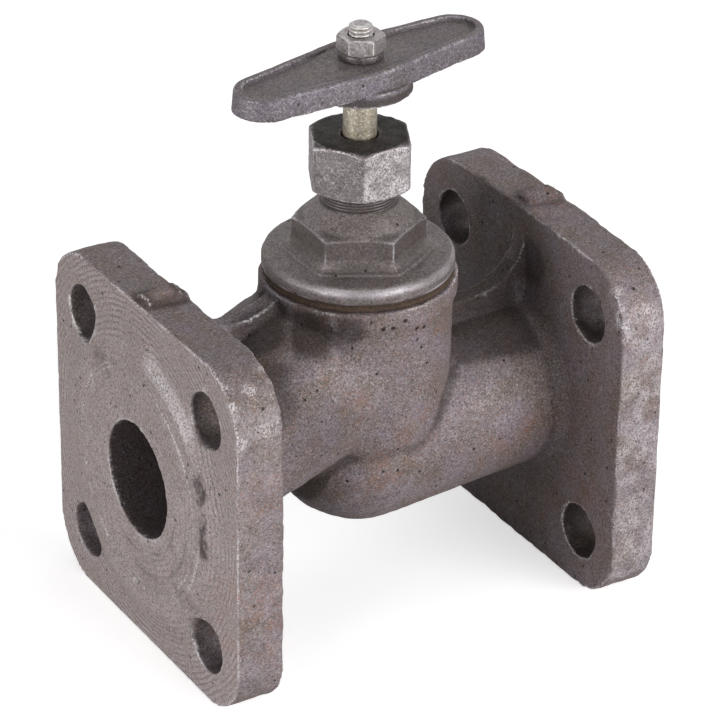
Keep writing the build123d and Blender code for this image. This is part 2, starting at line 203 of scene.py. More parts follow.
def fillHollows(mesh, weight, rounds, every):
    # hollows fill as a moulder rounds them: a point below the mean of its neighbours moves half way up to it
    for _ in range(rounds // every):
        points, normals, edges = readMesh(mesh)
        edges = edges[(weight[edges] > 0).any(axis=1)]
        for _ in range(every):
            rise = np.sum((neighbourMean(points, edges) - points) * normals, axis=1)
            points = points + normals * (0.5 * weight * np.maximum(rise, 0))[:, None]
        writePoints(mesh, points)


def remeshed(name, node, voxel, rounds):
    # an even skin over a copy of the node's solid: the steps of the voxels are smoothed out, then every point goes back
    # onto the solid, which keeps its edges crisp
    mesh = tidyCopy(node)
    shell = bpy.data.objects.new(name, mesh)
    scene.collection.objects.link(shell)
    skin = shell.modifiers.new("skin", "REMESH")
    skin.mode = "VOXEL"
    skin.voxel_size = voxel * mm
    even = bpy.data.meshes.new_from_object(shell.evaluated_get(bpy.context.evaluated_depsgraph_get()))
    shell.modifiers.clear()
    points, normals, edges = readMesh(even)
    for _ in range(rounds):  # a pull towards the neighbours, then a slightly longer push back, keeps the size
        for pull in (0.5, -0.52):
            points = points + pull * (neighbourMean(points, edges) - points)
    writePoints(even, points)
    loose = bpy.data.objects.new("loose", even)
    scene.collection.objects.link(loose)
    wrap = loose.modifiers.new("wrap", "SHRINKWRAP")
    wrap.wrap_method = "NEAREST_SURFACEPOINT"
    wrap.target = shell
    crisp = bpy.data.meshes.new_from_object(loose.evaluated_get(bpy.context.evaluated_depsgraph_get()))
    for spare in (loose, shell):
        bpy.data.objects.remove(spare)
    for spare in (even, mesh):
        bpy.data.meshes.remove(spare)
    crisp.name = name
    crisp.polygons.foreach_set("use_smooth", np.ones(len(crisp.polygons), bool))
    return crisp


def tidyCopy(node):
    # the node's loose triangles, merged
    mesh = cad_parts[node].data.copy()
    work = bmesh.new()
    work.from_mesh(mesh)
    bmesh.ops.remove_doubles(work, verts=work.verts, dist=1e-7)
    work.to_mesh(mesh)
    work.free()
    return mesh


def thinned(mesh, most):
    # triangles are spent where the surface turns, so that the piece stays under the most allowed
    triangles = sum(len(p.vertices) - 2 for p in mesh.polygons)
    if triangles <= most:
        return mesh
    shell = bpy.data.objects.new(mesh.name, mesh)
    scene.collection.objects.link(shell)
    cut = shell.modifiers.new("cut", "DECIMATE")
    cut.ratio = most / triangles
    light = bpy.data.meshes.new_from_object(shell.evaluated_get(bpy.context.evaluated_depsgraph_get()))
    bpy.data.objects.remove(shell)
    light.name = mesh.name
    light.polygons.foreach_set("use_smooth", np.ones(len(light.polygons), bool))
    return light


def place(mesh, body, slot, material, *nodes):
    # the piece rides on its body, takes the given finish and stands for those nodes
    piece = bpy.data.objects.new(mesh.name, mesh)
    scene.collection.objects.link(piece)
    mesh.materials.clear()
    mesh.materials.append(material)
    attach(piece, body)
    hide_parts(*nodes)
    return piece


# Materials

def newMaterial(name):
    material = bpy.data.materials.new(name)
    material.use_nodes = True
    tree = material.node_tree
    tree.nodes.clear()
    return material, tree


def sandCastIron(name, look):
    # grey cast iron as it leaves the sand: hard specks, dark and bright, over brown-grey and mauve-grey blotches, rust
    # in patches, small black pits, soot and painted shade in the hollows and where grime and painted shade are laid,
    # and bright metal in broken lines where ridges are rubbed, which also lays painted highlights
    material, tree = newMaterial(name)
    where = addNode(tree, "ShaderNodeTexCoord").outputs["Object"]
    speck = addNode(tree, "ShaderNodeTexVoronoi", {"Vector": where, "Scale": 1 / (look["speckSize"] * mm)})
    chance = addNode(tree, "ShaderNodeSeparateColor", {"Color": speck.outputs["Color"]})
    pitCell = addNode(tree, "ShaderNodeTexVoronoi", {"Vector": where, "Scale": 1 / (look["pitSpacing"] * mm)})
    grain = addNode(tree, "ShaderNodeTexNoise",
                    {"Vector": where, "Scale": 1 / (look["grainSize"] * mm), "Detail": 3.0, "Roughness": 0.65})
    blotch = addNode(tree, "ShaderNodeTexNoise",
                     {"Vector": where, "Scale": 1 / (look["blotchSize"] * mm), "Detail": 4.0, "Roughness": 0.6})
    rustGrain = addNode(tree, "ShaderNodeTexNoise",
                        {"Vector": where, "Scale": 1 / (look["rustSize"] * mm), "Detail": 5.0, "Roughness": 0.7})
    ridge = addNode(tree, "ShaderNodeAttribute", attribute_name="edgeWear").outputs["Fac"]
    hollow = addNode(tree, "ShaderNodeAttribute", attribute_name="hollow").outputs["Fac"]
    grime = addNode(tree, "ShaderNodeAttribute", attribute_name="grime").outputs["Fac"]
    rusty = addNode(tree, "ShaderNodeAttribute", attribute_name="rusty").outputs["Fac"]
    blotchPart = addNode(tree, "ShaderNodeMapRange",
                         {"Value": blotch.outputs["Fac"], "From Min": 0.36, "From Max": 0.64})
    colour = addNode(tree, "ShaderNodeMix",
                     {0: blotchPart.outputs["Result"], 6: linear(look["brown"]), 7: linear(look["grey"])},
                     data_type="RGBA")
    rustPart = addNode(tree, "ShaderNodeMapRange",
                       {"Value": rustGrain.outputs["Fac"], "From Min": 0.52, "From Max": 0.72, "To Max": look["rustShare"]})
    colour = addNode(tree, "ShaderNodeMix",
                     {0: rustPart.outputs["Result"], 6: colour.outputs[2], 7: linear(look["rust"])}, data_type="RGBA")
    bump = addNode(tree, "ShaderNodeBump",
                   {"Height": grain.outputs["Fac"], "Strength": look["bump"], "Distance": look["bumpDepth"] * mm})
    if "ringSpacing" in look:
        # faces cut on the lathe: paler metal, in which the tool's rings about the pipe's axis show here and there,
        # drawn coarser than the feed of about 0.3 mm so that they show
        turned = addNode(tree, "ShaderNodeAttribute", attribute_name="turned").outputs["Fac"]
        ringShow = addNode(tree, "ShaderNodeAttribute", attribute_name="ringShow").outputs["Fac"]
        centred = addNode(tree, "ShaderNodeMapping",
                          {"Vector": where, "Location": (0, 0, -pipeZ * mm), "Scale": (0, 1, 1)})
        reach = addNode(tree, "ShaderNodeVectorMath", {0: centred.outputs["Vector"]}, operation="LENGTH")
        wander = addNode(tree, "ShaderNodeMapRange",
                         {"Value": rustGrain.outputs["Fac"], "From Min": 0.3, "From Max": 0.7, "To Max": 0.6 * mm})
        bent = addNode(tree, "ShaderNodeMath", {0: reach.outputs["Value"], 1: wander.outputs["Result"]}, operation="ADD")
        phase = addNode(tree, "ShaderNodeMath",
                        {0: bent.outputs[0], 1: 2 * math.pi / (look["ringSpacing"] * mm)}, operation="MULTIPLY")
        wave = addNode(tree, "ShaderNodeMath", {0: phase.outputs[0]}, operation="SINE")
        patchy = addNode(tree, "ShaderNodeMapRange",
                         {"Value": blotch.outputs["Fac"], "From Min": 0.35, "From Max": 0.6, "To Max": look["ringShare"]})
        shown = addNode(tree, "ShaderNodeMath", {0: ringShow, 1: patchy.outputs["Result"]}, operation="MULTIPLY")
        ringPart = addNode(tree, "ShaderNodeMapRange",
                           {"Value": wave.outputs[0], "From Min": -0.2, "From Max": 1.0, "To Max": shown.outputs[0]})
        face = addNode(tree, "ShaderNodeMix",
                       {0: blotchPart.outputs["Result"], 6: linear(look["turnedDark"]), 7: linear(look["turnedLight"])},
                       data_type="RGBA")
        face = addNode(tree, "ShaderNodeMix",
                       {0: ringPart.outputs["Result"], 6: face.outputs[2], 7: linear(look["ringDark"])}, data_type="RGBA")
        colour = addNode(tree, "ShaderNodeMix",
                         {0: turned, 6: colour.outputs[2], 7: face.outputs[2]}, data_type="RGBA")
        bump = addNode(tree, "ShaderNodeBump",
                       {"Height": ringPart.outputs["Result"], "Strength": 0.6, "Distance": 0.08 * mm,
                        "Normal": bump.outputs["Normal"]})
    darkPart = addNode(tree, "ShaderNodeMapRange",
                       {"Value": chance.outputs["Red"], "From Min": 0.3, "From Max": 0.0, "To Max": look["darkSpecks"]})
    colour = addNode(tree, "ShaderNodeMix",
                     {0: darkPart.outputs["Result"], 6: colour.outputs[2], 7: linear(look["dark"])}, data_type="RGBA")
    lightPart = addNode(tree, "ShaderNodeMapRange",
                        {"Value": chance.outputs["Red"], "From Min": 0.7, "From Max": 1.0, "To Max": look["lightSpecks"]})
    colour = addNode(tree, "ShaderNodeMix",
                     {0: lightPart.outputs["Result"], 6: colour.outputs[2], 7: linear(look["light"])}, data_type="RGBA")
    sandPart = addNode(tree, "ShaderNodeMapRange",
                       {"Value": grain.outputs["Fac"], "From Min": 0.5, "From Max": 0.28, "To Max": look["grainShare"]})
    colour = addNode(tree, "ShaderNodeMix",
                     {0: sandPart.outputs["Result"], 6: colour.outputs[2], 7: linear(look["dark"])}, data_type="RGBA")
    redFrom = addNode(tree, "ShaderNodeMath", {0: rusty, 1: -0.55, 2: 0.93}, operation="MULTIPLY_ADD")
    redTo = addNode(tree, "ShaderNodeMath", {0: rusty, 1: -0.35, 2: 0.97}, operation="MULTIPLY_ADD")
    redPart = addNode(tree, "ShaderNodeMapRange",
                      {"Value": chance.outputs["Green"], "From Min": redFrom.outputs[0], "From Max": redTo.outputs[0],
                       "To Max": look["redSpecks"]})
    colour = addNode(tree, "ShaderNodeMix",
                     {0: redPart.outputs["Result"], 6: colour.outputs[2], 7: linear(look["rust"])}, data_type="RGBA")
    pitPart = addNode(tree, "ShaderNodeMapRange",
                      {"Value": pitCell.outputs["Distance"], "From Min": look["pitSize"] / look["pitSpacing"],
                       "From Max": 0.6 * look["pitSize"] / look["pitSpacing"], "To Max": 0.9}).outputs["Result"]
    for spot in look.get("gasHoles", []):  # gas holes that stand in one place
        far = addNode(tree, "ShaderNodeVectorMath", {0: where, 1: [part * mm for part in spot]}, operation="DISTANCE")
        hole = addNode(tree, "ShaderNodeMapRange",
                       {"Value": far.outputs["Value"], "From Min": 0.75 * mm, "From Max": 0.4 * mm, "To Max": 0.9})
        pitPart = addNode(tree, "ShaderNodeMath", {0: pitPart, 1: hole.outputs["Result"]}, operation="MAXIMUM").outputs[0]
    # the hollows and the painted grime lay soot and painted shade, and the pits lay black
    hollowPart = addNode(tree, "ShaderNodeMath", {0: hollow, 1: look["hollowShare"]}, operation="MULTIPLY")
    grimePart = addNode(tree, "ShaderNodeMath", {0: grime, 1: look["grimeShare"]}, operation="MULTIPLY")
    sunk = addNode(tree, "ShaderNodeMath", {0: hollowPart.outputs[0], 1: grimePart.outputs[0]}, operation="MAXIMUM")
    sunk = addNode(tree, "ShaderNodeMath", {0: sunk.outputs[0], 1: pitPart}, operation="MAXIMUM")
    colour = addNode(tree, "ShaderNodeMix",
                     {0: sunk.outputs[0], 6: colour.outputs[2], 7: linear(look["soot"])}, data_type="RGBA")
    # rubbed ridges, and the painted highlights laid with them, take the bright colour
    sparkPart = addNode(tree, "ShaderNodeMapRange",
                        {"Value": chance.outputs["Blue"], "From Min": look["sparkFrom"], "From Max": 0.8, "To Max": look["wearShare"]})
    rubbed = addNode(tree, "ShaderNodeMath", {0: ridge, 1: sparkPart.outputs["Result"]}, operation="MULTIPLY")
    colour = addNode(tree, "ShaderNodeMix",
                     {0: rubbed.outputs[0], 6: colour.outputs[2], 7: linear(look["bright"])}, data_type="RGBA")
    dull = addNode(tree, "ShaderNodeMapRange",
                   {"Value": grain.outputs["Fac"], "From Min": 0.3, "From Max": 0.7,
                    "To Min": look["rough"] + 0.1, "To Max": look["rough"] - 0.1})
    bump = addNode(tree, "ShaderNodeBump",
                   {"Height": pitPart, "Strength": 0.8, "Distance": 0.3 * mm,
                    "Normal": bump.outputs["Normal"]}, invert=True)
    metal = addNode(tree, "ShaderNodeMapRange", {"Value": sunk.outputs[0], "To Min": look["metallic"], "To Max": 0.0})
    shine = addNode(tree, "ShaderNodeMapRange", {"Value": sunk.outputs[0], "To Min": 0.5, "To Max": 0.1})
    shader = addNode(tree, "ShaderNodeBsdfPrincipled",
                     {"Base Color": colour.outputs[2], "Metallic": metal.outputs["Result"], "Roughness": dull.outputs["Result"],
                      "Specular IOR Level": shine.outputs["Result"], "Normal": bump.outputs["Normal"]})
    addNode(tree, "ShaderNodeOutputMaterial", {"Surface": shader.outputs["BSDF"]})
    return material


def workedSteel(name, look):
    # drawn or turned steel: fine lines along or round the piece, a thin plated or oiled tint in blotches,
    # brown dirt in streaks and specks, painted shade in the same brown in the hollows, and bright rubbed ridges
    material, tree = newMaterial(name)
    where = addNode(tree, "ShaderNodeTexCoord").outputs["Object"]
    lines = addNode(tree, "ShaderNodeMapping", {"Vector": where, "Scale": look["lineStretch"]})
    streak = addNode(tree, "ShaderNodeTexNoise",
                     {"Vector": lines.outputs["Vector"], "Scale": 1 / (look["lineSize"] * mm), "Detail": 2.0})
    speck = addNode(tree, "ShaderNodeTexVoronoi", {"Vector": where, "Scale": 1 / (look["speckSize"] * mm)})
    chance = addNode(tree, "ShaderNodeSeparateColor", {"Color": speck.outputs["Color"]})
    blotch = addNode(tree, "ShaderNodeTexNoise",
                     {"Vector": where, "Scale": 1 / (look["blotchSize"] * mm), "Detail": 4.0, "Roughness": 0.65})
    ridge = addNode(tree, "ShaderNodeAttribute", attribute_name="edgeWear").outputs["Fac"]
    hollow = addNode(tree, "ShaderNodeAttribute", attribute_name="hollow").outputs["Fac"]
    blotchPart = addNode(tree, "ShaderNodeMapRange",
                         {"Value": blotch.outputs["Fac"], "From Min": 0.38, "From Max": 0.62})
    colour = addNode(tree, "ShaderNodeMix",
                     {0: blotchPart.outputs["Result"], 6: linear(look["tint"]), 7: linear(look["steel"])}, data_type="RGBA")
    if "tip" in look:  # the plating is rubbed off the stem's end
        bare = addNode(tree, "ShaderNodeAttribute", attribute_name="bare").outputs["Fac"]
        colour = addNode(tree, "ShaderNodeMix", {0: bare, 6: colour.outputs[2], 7: linear(look["tip"])}, data_type="RGBA")
    darkPart = addNode(tree, "ShaderNodeMapRange",
                       {"Value": chance.outputs["Red"], "From Min": 0.3, "From Max": 0.0, "To Max": look["darkSpecks"]})
    colour = addNode(tree, "ShaderNodeMix",
                     {0: darkPart.outputs["Result"], 6: colour.outputs[2], 7: linear(look["dirt"])}, data_type="RGBA")
    lightPart = addNode(tree, "ShaderNodeMapRange",
                        {"Value": chance.outputs["Red"], "From Min": 0.7, "From Max": 1.0, "To Max": look["lightSpecks"]})
    colour = addNode(tree, "ShaderNodeMix",
                     {0: lightPart.outputs["Result"], 6: colour.outputs[2], 7: linear(look["bright"])}, data_type="RGBA")
    streakPart = addNode(tree, "ShaderNodeMapRange",
                         {"Value": streak.outputs["Fac"], "From Min": 0.55, "From Max": 0.3, "To Max": look["streakShare"]})
    colour = addNode(tree, "ShaderNodeMix",
                     {0: streakPart.outputs["Result"], 6: colour.outputs[2], 7: linear(look["dirt"])}, data_type="RGBA")
    # painted shade in the hollows
    colour = addNode(tree, "ShaderNodeMix",
                     {0: hollow, 6: colour.outputs[2], 7: linear(look["dirt"])}, data_type="RGBA")
    colour = addNode(tree, "ShaderNodeMix",
                     {0: ridge, 6: colour.outputs[2], 7: linear(look["bright"])}, data_type="RGBA")
    dull = addNode(tree, "ShaderNodeMapRange",
                   {"Value": blotch.outputs["Fac"], "From Min": 0.3, "From Max": 0.7,
                    "To Min": look["rough"] + 0.08, "To Max": look["rough"] - 0.08})
    bump = addNode(tree, "ShaderNodeBump",
                   {"Height": streak.outputs["Fac"], "Strength": look["bump"], "Distance": 0.05 * mm})
    shader = addNode(tree, "ShaderNodeBsdfPrincipled",
                     {"Base Color": colour.outputs[2], "Metallic": look["metallic"], "Roughness": dull.outputs["Result"],
                      "Normal": bump.outputs["Normal"]})
    addNode(tree, "ShaderNodeOutputMaterial", {"Surface": shader.outputs["BSDF"]})
    return material


def pressedFibre(name, look):
    # fibre, graphite or rubber pressed to shape: two close tones in a short fleck, with no shine
    material, tree = newMaterial(name)
    where = addNode(tree, "ShaderNodeTexCoord").outputs["Object"]
    fleck = addNode(tree, "ShaderNodeTexNoise",
                    {"Vector": where, "Scale": 1 / (look["fleckSize"] * mm), "Detail": 4.0, "Roughness": 0.7})
    part = addNode(tree, "ShaderNodeMapRange", {"Value": fleck.outputs["Fac"], "From Min": 0.35, "From Max": 0.65})
    colour = addNode(tree, "ShaderNodeMix",
                     {0: part.outputs["Result"], 6: linear(look["dark"]), 7: linear(look["light"])}, data_type="RGBA")
    bump = addNode(tree, "ShaderNodeBump",
                   {"Height": fleck.outputs["Fac"], "Strength": 0.5, "Distance": 0.08 * mm})
    shader = addNode(tree, "ShaderNodeBsdfPrincipled",
                     {"Base Color": colour.outputs[2], "Roughness": look["rough"], "Normal": bump.outputs["Normal"]})
    addNode(tree, "ShaderNodeOutputMaterial", {"Surface": shader.outputs["BSDF"]})
    return material


bodyIron = sandCastIron("sandCastGreyIron", {
    "brown": "#6c605a", "grey": "#776d74", "dark": "#352d29", "light": "#aea6a8", "rust": "#85573f", "soot": "#241c19",
    "bright": "#d8d3d5", "speckSize": 0.3, "grainSize": 0.7, "blotchSize": 8.0, "rustSize": 6.0, "pitSpacing": 4.2, "pitSize": 0.5,
    "darkSpecks": 0.8, "lightSpecks": 0.5, "grainShare": 0.4, "redSpecks": 0.55, "rustShare": 0.25, "hollowShare": 0.62,
    "grimeShare": 0.8, "wearShare": 0.85, "sparkFrom": 0.2, "metallic": 0.2, "rough": 0.64, "bump": 0.55, "bumpDepth": 0.25, "ringSpacing": 1.4,
    "turnedDark": "#867c7a", "turnedLight": "#958b8b", "ringDark": "#5a514f", "ringShare": 0.75,
    "gasHoles": [(-6.5, -22.3, 81.4), (-4.2, -22.9, 81.4), (-1.2, -23.4, 82.8), (2.4, -22.8, 79.5), (4.6, -22.5, 79.2)]})
bonnetIron = sandCastIron("castIronBonnet", {
    "brown": "#655c59", "grey": "#716a6b", "dark": "#322a26", "light": "#9b9393", "rust": "#74543f", "soot": "#231c1a",
    "bright": "#d4cfd6", "speckSize": 0.3, "grainSize": 0.8, "blotchSize": 7.0, "rustSize": 7.0, "pitSpacing": 5.0, "pitSize": 0.45,
    "darkSpecks": 0.7, "lightSpecks": 0.5, "grainShare": 0.45, "redSpecks": 0.2, "rustShare": 0.25, "hollowShare": 0.6,
    "grimeShare": 0.8, "wearShare": 0.9, "sparkFrom": -1.2, "metallic": 0.4, "rough": 0.52, "bump": 0.5, "bumpDepth": 0.22})
glandIron = sandCastIron("castIronGlandNut", {
    "brown": "#787070", "grey": "#8b8385", "dark": "#3b3433", "light": "#cbc5c8", "rust": "#7a5f50", "soot": "#1e1610",
    "bright": "#dcd7d9", "speckSize": 0.3, "grainSize": 0.8, "blotchSize": 5.0, "rustSize": 7.0, "pitSpacing": 5.0, "pitSize": 0.45,
    "darkSpecks": 0.6, "lightSpecks": 0.55, "grainShare": 0.5, "redSpecks": 0.15, "rustShare": 0.15, "hollowShare": 0.6,
    "grimeShare": 0.97, "wearShare": 0.7, "sparkFrom": 0.2, "metallic": 0.4, "rough": 0.52, "bump": 0.6, "bumpDepth": 0.22})
# on the handle, the rust colour also lays the dust and painted light from above on what faces up
handleIron = sandCastIron("castIronHandle", {
    "brown": "#575053", "grey": "#615a63", "dark": "#322c2d", "light": "#938d98", "rust": "#86786c", "soot": "#38312e",
    "bright": "#d0cad0", "speckSize": 0.3, "grainSize": 0.8, "blotchSize": 6.0, "rustSize": 9.0, "pitSpacing": 5.0, "pitSize": 0.4,
    "darkSpecks": 0.65, "lightSpecks": 0.6, "grainShare": 0.45, "redSpecks": 0.6, "rustShare": 0.15, "hollowShare": 0.25,
    "grimeShare": 0.85, "wearShare": 0.8, "sparkFrom": 0.2, "metallic": 0.3, "rough": 0.56, "bump": 0.55, "bumpDepth": 0.22})
stemSteel = workedSteel("zincPlatedSteelStem", {
    "tint": "#90876f", "steel": "#aca59a", "dirt": "#665c4b", "bright": "#e4e1da", "tip": "#aca8ab", "lineStretch": (1, 1, 0.3),
    "lineSize": 0.5, "blotchSize": 1.1, "speckSize": 0.35, "darkSpecks": 0.6, "lightSpecks": 0.6, "streakShare": 0.3, "metallic": 0.6,
    "rough": 0.42, "bump": 0.3})
nutSteel = workedSteel("plainSteelNut", {
    "tint": "#8d8482", "steel": "#aaa3a3", "dirt": "#5a514e", "bright": "#dcd9da", "lineStretch": (1, 1, 1),
    "lineSize": 0.45, "blotchSize": 1.6, "speckSize": 0.35, "darkSpecks": 0.5, "lightSpecks": 0.5, "streakShare": 0.45, "metallic": 0.65, "rough": 0.42, "bump": 0.35})
washerSteel = workedSteel("springSteelWasher", {
    "tint": "#4c4544", "steel": "#6d6666", "dirt": "#2c2624", "bright": "#b5afaf", "lineStretch": (1, 1, 1),
    "lineSize": 0.4, "blotchSize": 1.2, "speckSize": 0.35, "darkSpecks": 0.4, "lightSpecks": 0.3, "streakShare": 0.6, "metallic": 0.6, "rough": 0.45, "bump": 0.35})
gasketFibre = pressedFibre("pressedGasketFibre", {"dark": "#20160f", "light": "#4d3a2b", "fleckSize": 0.6, "rough": 0.85})
packingFibre = pressedFibre("graphitedPackingBraid", {"dark": "#1f1e1f", "light": "#3c3b3d", "fleckSize": 0.8, "rough": 0.6})
softSeal = pressedFibre("mouldedWhiteSeal", {"dark": "#d6d4cd", "light": "#e2e0da", "fleckSize": 1.2, "rough": 0.6})
print("materials:", len(bpy.data.materials))


# Body casting: an even skin over the solid, so that branches, barrel, ribs and flanges run into each other as they
# do in one casting, which no single grid can follow

casting = {
    "voxel": 0.55, "smoothing": 3, "most": 195000, "fillRounds": 120, "fillEvery": 20, "fillLeast": 0.05,
    "ridgeBlur": 0, "hollowBlur": 16, "wearFrom": (0.2, 0.5), "wearSize": 6.0, "wearPatch": (-0.5, 0.4), "hollowFrom": (0.008, 0.05),
    "grain": [(0.06, 1.2, 1), (0.13, 2.8, 2), (0.2, 8.0, 3)], "chipSize": 2.2, "chipDepth": 0.5,
    "faceX": 58.0, "boreR": 15.5, "neckR": 19.4, "flangeX": 45.5,
    "bevelFrom": 31.3, "bevelTo": 35.8, "easeFrom": 31.5, "easeTo": 41.0, "faceRise": 2.0,
    "bevelTurn": (3.0, 12.0, 44.0, 58.0),  # degrees from the top towards the near side
    "boltY": 30.05, "boltR": 7.0,
    "ringFrom": (33.0, 38.0), "ringLeast": 0.4, "halfSide": 45.0, "cornerR": 15.0, "edgeR": 1.2, "edgeShare": 0.8,
    # on the left face: y, z over the pipe's axis, half width, half height, depth, share of dirt
    "scars": [(16.6, 24.8, 6.5, 3.2, 0.15, 0.5), (-22.8, -20.7, 6.0, 3.0, 0.15, 0.4), (-30.2, 12.0, 2.4, 6.0, 0.3, 0.95),
              (-31.6, 1.0, 2.2, 8.5, 0.3, 1.0)],
    # tool marks round the bore of the left face: radius, degrees from the top towards the near side, depth
    "grooves": [(18.3, 95.0, 200.0, 0.22), (19.9, 140.0, 215.0, 0.16), (24.2, 90.0, 205.0, 0.24), (29.8, 62.0, 150.0, 0.18)],
    # rubbed bright: x, y, z over the floor, reach, share; the two broad ones on the right branch are painted highlight
    # on its lit front
    "rubs": [(-58, -36.5, 89.8, 3.0, 1.0), (-58, -39.5, 87.8, 3.0, 1.0), (-58, -42.5, 85.0, 3.0, 1.0), (-57.8, -44.6, 80.5, 3.2, 1.0),
             (-57.2, -45, 76.0, 2.6, 0.9), (-52.4, -40, 86.2, 2.6, 0.9), (-46.2, -36.5, 89.7, 3.0, 0.8), (-46.2, -41, 85.0, 3.2, 0.8),
             (-46.2, -43.8, 80.0, 3.0, 0.8), (-50.5, -44.8, 78.0, 4.0, 0.6), (46.2, -44.0, 80.0, 5.0, 0.9), (46.2, -41.0, 84.5, 4.0, 0.7),
             (22.0, -20.0, 57.0, 13.0, 0.12), (30.0, -20.0, 54.0, 10.0, 0.1), (-4.0, -20.0, 33.0, 14.0, 0.16)],
    "sideRub": (0.2, 0.48),  # the near sides of the left and the right flange: wear and painted highlight on these lit faces
    # painted shade in spots: the same
    "soots": [(33.0, -8.0, 72.0, 14.0, 0.8), (44.0, -6.0, 78.0, 9.0, 0.8), (-30.0, -6.0, 79.0, 9.0, 0.9), (-21.0, -14.0, 80.0, 8.0, 0.95),
              (-14.0, -19.0, 80.5, 5.5, 0.85), (-34.0, -15.0, 72.0, 9.0, 0.7), (-33.0, -20.0, 66.0, 7.0, 0.6), (-24.0, -19.0, 60.0, 13.0, 0.3)],
    "shade": (14.0, 16.0, 0.07, 0.85),  # over the right branch: from x, level there, fall for each mm, share
    # rust in specks: the same
    "rusts": [(4.8, -21.5, 51.0, 8.0, 0.8), (-5.0, -21.0, 42.0, 9.0, 0.8), (26.6, -21.0, 37.5, 7.0, 0.9), (38.0, -20.0, 42.0, 8.0, 0.7),
              (-52.0, -45.0, 28.0, 18.0, 0.8), (-52.0, -45.0, 62.0, 10.0, 0.6), (-51.0, 4.0, 90.0, 10.0, 0.4), (46.0, -30.0, 22.0, 16.0, 0.6),
              (52.0, 0.0, 90.0, 14.0, 0.6), (-14.0, -20.0, 62.0, 7.0, 0.5), (12.0, -20.0, 78.0, 7.0, 0.6)],
    # the seam under the left branch, x, y, z over the floor
    "seam": [(-30.0, -19.5, 42.0), (-21.5, -20.8, 45.2), (-14.5, -21.0, 47.3), (-7.2, -21.5, 47.4), (3.0, -22.0, 46.5)], "seamDepth": 0.15,
    "lumps": (55.0, 6.0, 90.0, 42.0, 0.8, 0.45), "nub": (2.2, 1.3, 0.9),
}


def nearSpot(points, x, y, z, reach):
    # 1 at the spot, fading to 0 at that reach
    return 1 - ramp(np.linalg.norm(points - [x, y, z], axis=1) / reach, 0.35, 1.0)


def nearLine(points, corners):
    # distance from each point to a broken line
    corners = np.asarray(corners, float)
    least = np.full(len(points), np.inf)
    for start, stop in zip(corners[:-1], corners[1:]):
        run = stop - start
        part = np.clip((points - start) @ run / (run @ run), 0, 1)
        least = np.minimum(least, np.linalg.norm(points - start - part[:, None] * run, axis=1))
    return least


bodyMesh = remeshed("castingSkin", "valve_body", casting["voxel"], casting["smoothing"])
points, normals, edges = readMesh(bodyMesh)
fromStem = np.hypot(points[:, 0], points[:, 1])
level = points[:, 2] - pipeZ
outside = (fromStem > casting["neckR"]) & (np.abs(points[:, 0]) < casting["flangeX"])
# where the left branch runs into the barrel, and under the collar, the mould was rounded by hand
offRib = np.maximum(ramp(np.abs(points[:, 1]), 5, 9), 1 - ramp(level, 24, 30))
valley = ramp(level, 0, 5) * ramp(-points[:, 0], 0, 6) * offRib
collar = ramp(level, 30, 34) * (fromStem < 26) * ramp(np.abs(points[:, 1]), 4, 7)
fillHollows(bodyMesh, outside * np.maximum(np.maximum(valley, collar), casting["fillLeast"]), casting["fillRounds"], casting["fillEvery"])

# the flanges' rounded edges are drawn out to the crisp ones of the photograph
points, normals, edges = readMesh(bodyMesh)
past = np.abs(points[:, 1:] - [0, pipeZ]) - (casting["halfSide"] - casting["cornerR"])
fromSide = np.linalg.norm(np.maximum(past, 0), axis=1) + np.minimum(past.max(axis=1), 0) - casting["cornerR"]
rim = (np.abs(points[:, 0]) > casting["flangeX"]) & (fromSide > -1.6)
steep = np.maximum(np.abs(normals[:, 0]), np.sqrt(np.maximum(1 - normals[:, 0] ** 2, 0)))
points += normals * (casting["edgeShare"] * casting["edgeR"] * (1 / np.maximum(steep, 0.7) - 1) * rim)[:, None]
writePoints(bodyMesh, points)

points, normals, edges = readMesh(bodyMesh)
fromAxis = np.hypot(points[:, 1], points[:, 2] - pipeZ)
faceSide = np.sign(points[:, 0])
turned = ramp(faceSide * normals[:, 0], 0.6, 0.9) * ramp(np.abs(points[:, 0]), casting["faceX"] - 0.9, casting["faceX"] - 0.4)
inside = 1 - ramp(fromAxis, casting["boreR"], casting["boreR"] + 0.6)

# the raised face of the left flange runs out almost flush, but at its upper near edge it is worn to a steeper slope
turn = np.degrees(np.arctan2(-points[:, 1], points[:, 2] - pipeZ))
worn = ramp(turn, *casting["bevelTurn"][:2]) * (1 - ramp(turn, *casting["bevelTurn"][2:]))
easy = casting["easeFrom"] + worn * (casting["bevelFrom"] - casting["easeFrom"])
wide = casting["easeTo"] + worn * (casting["bevelTo"] - casting["easeTo"])
slope = -casting["faceX"] - casting["faceRise"] * (1 - ramp(fromAxis, easy, wide))
edgeZone = (points[:, 0] < -casting["faceX"] + 0.6) & (fromAxis > 30.5) & (fromAxis < 42)
points[:, 0] = np.where(edgeZone, slope, points[:, 0])
worn = worn * edgeZone
turned = np.where(edgeZone, 1.0, turned)
scar = np.zeros(len(points))
onLeft = turned * (faceSide < 0)
for y, z, halfWidth, halfHeight, depth, share in casting["scars"]:
    reach = np.hypot((points[:, 1] - y) / halfWidth, (points[:, 2] - pipeZ - z) / halfHeight)
    mark = (1 - ramp(reach + 0.5 * grainNoise(points, 2.5, 17), 0.4, 1.2)) * onLeft
    points[:, 0] += depth * mark * (1 + 0.8 * grainNoise(points, 1.4, 18))
    scar = np.maximum(scar, share * mark * ramp(grainNoise(points, 1.3, 16), -0.9, 0.1))
groove = np.zeros(len(points))
around = np.mod(turn, 360)
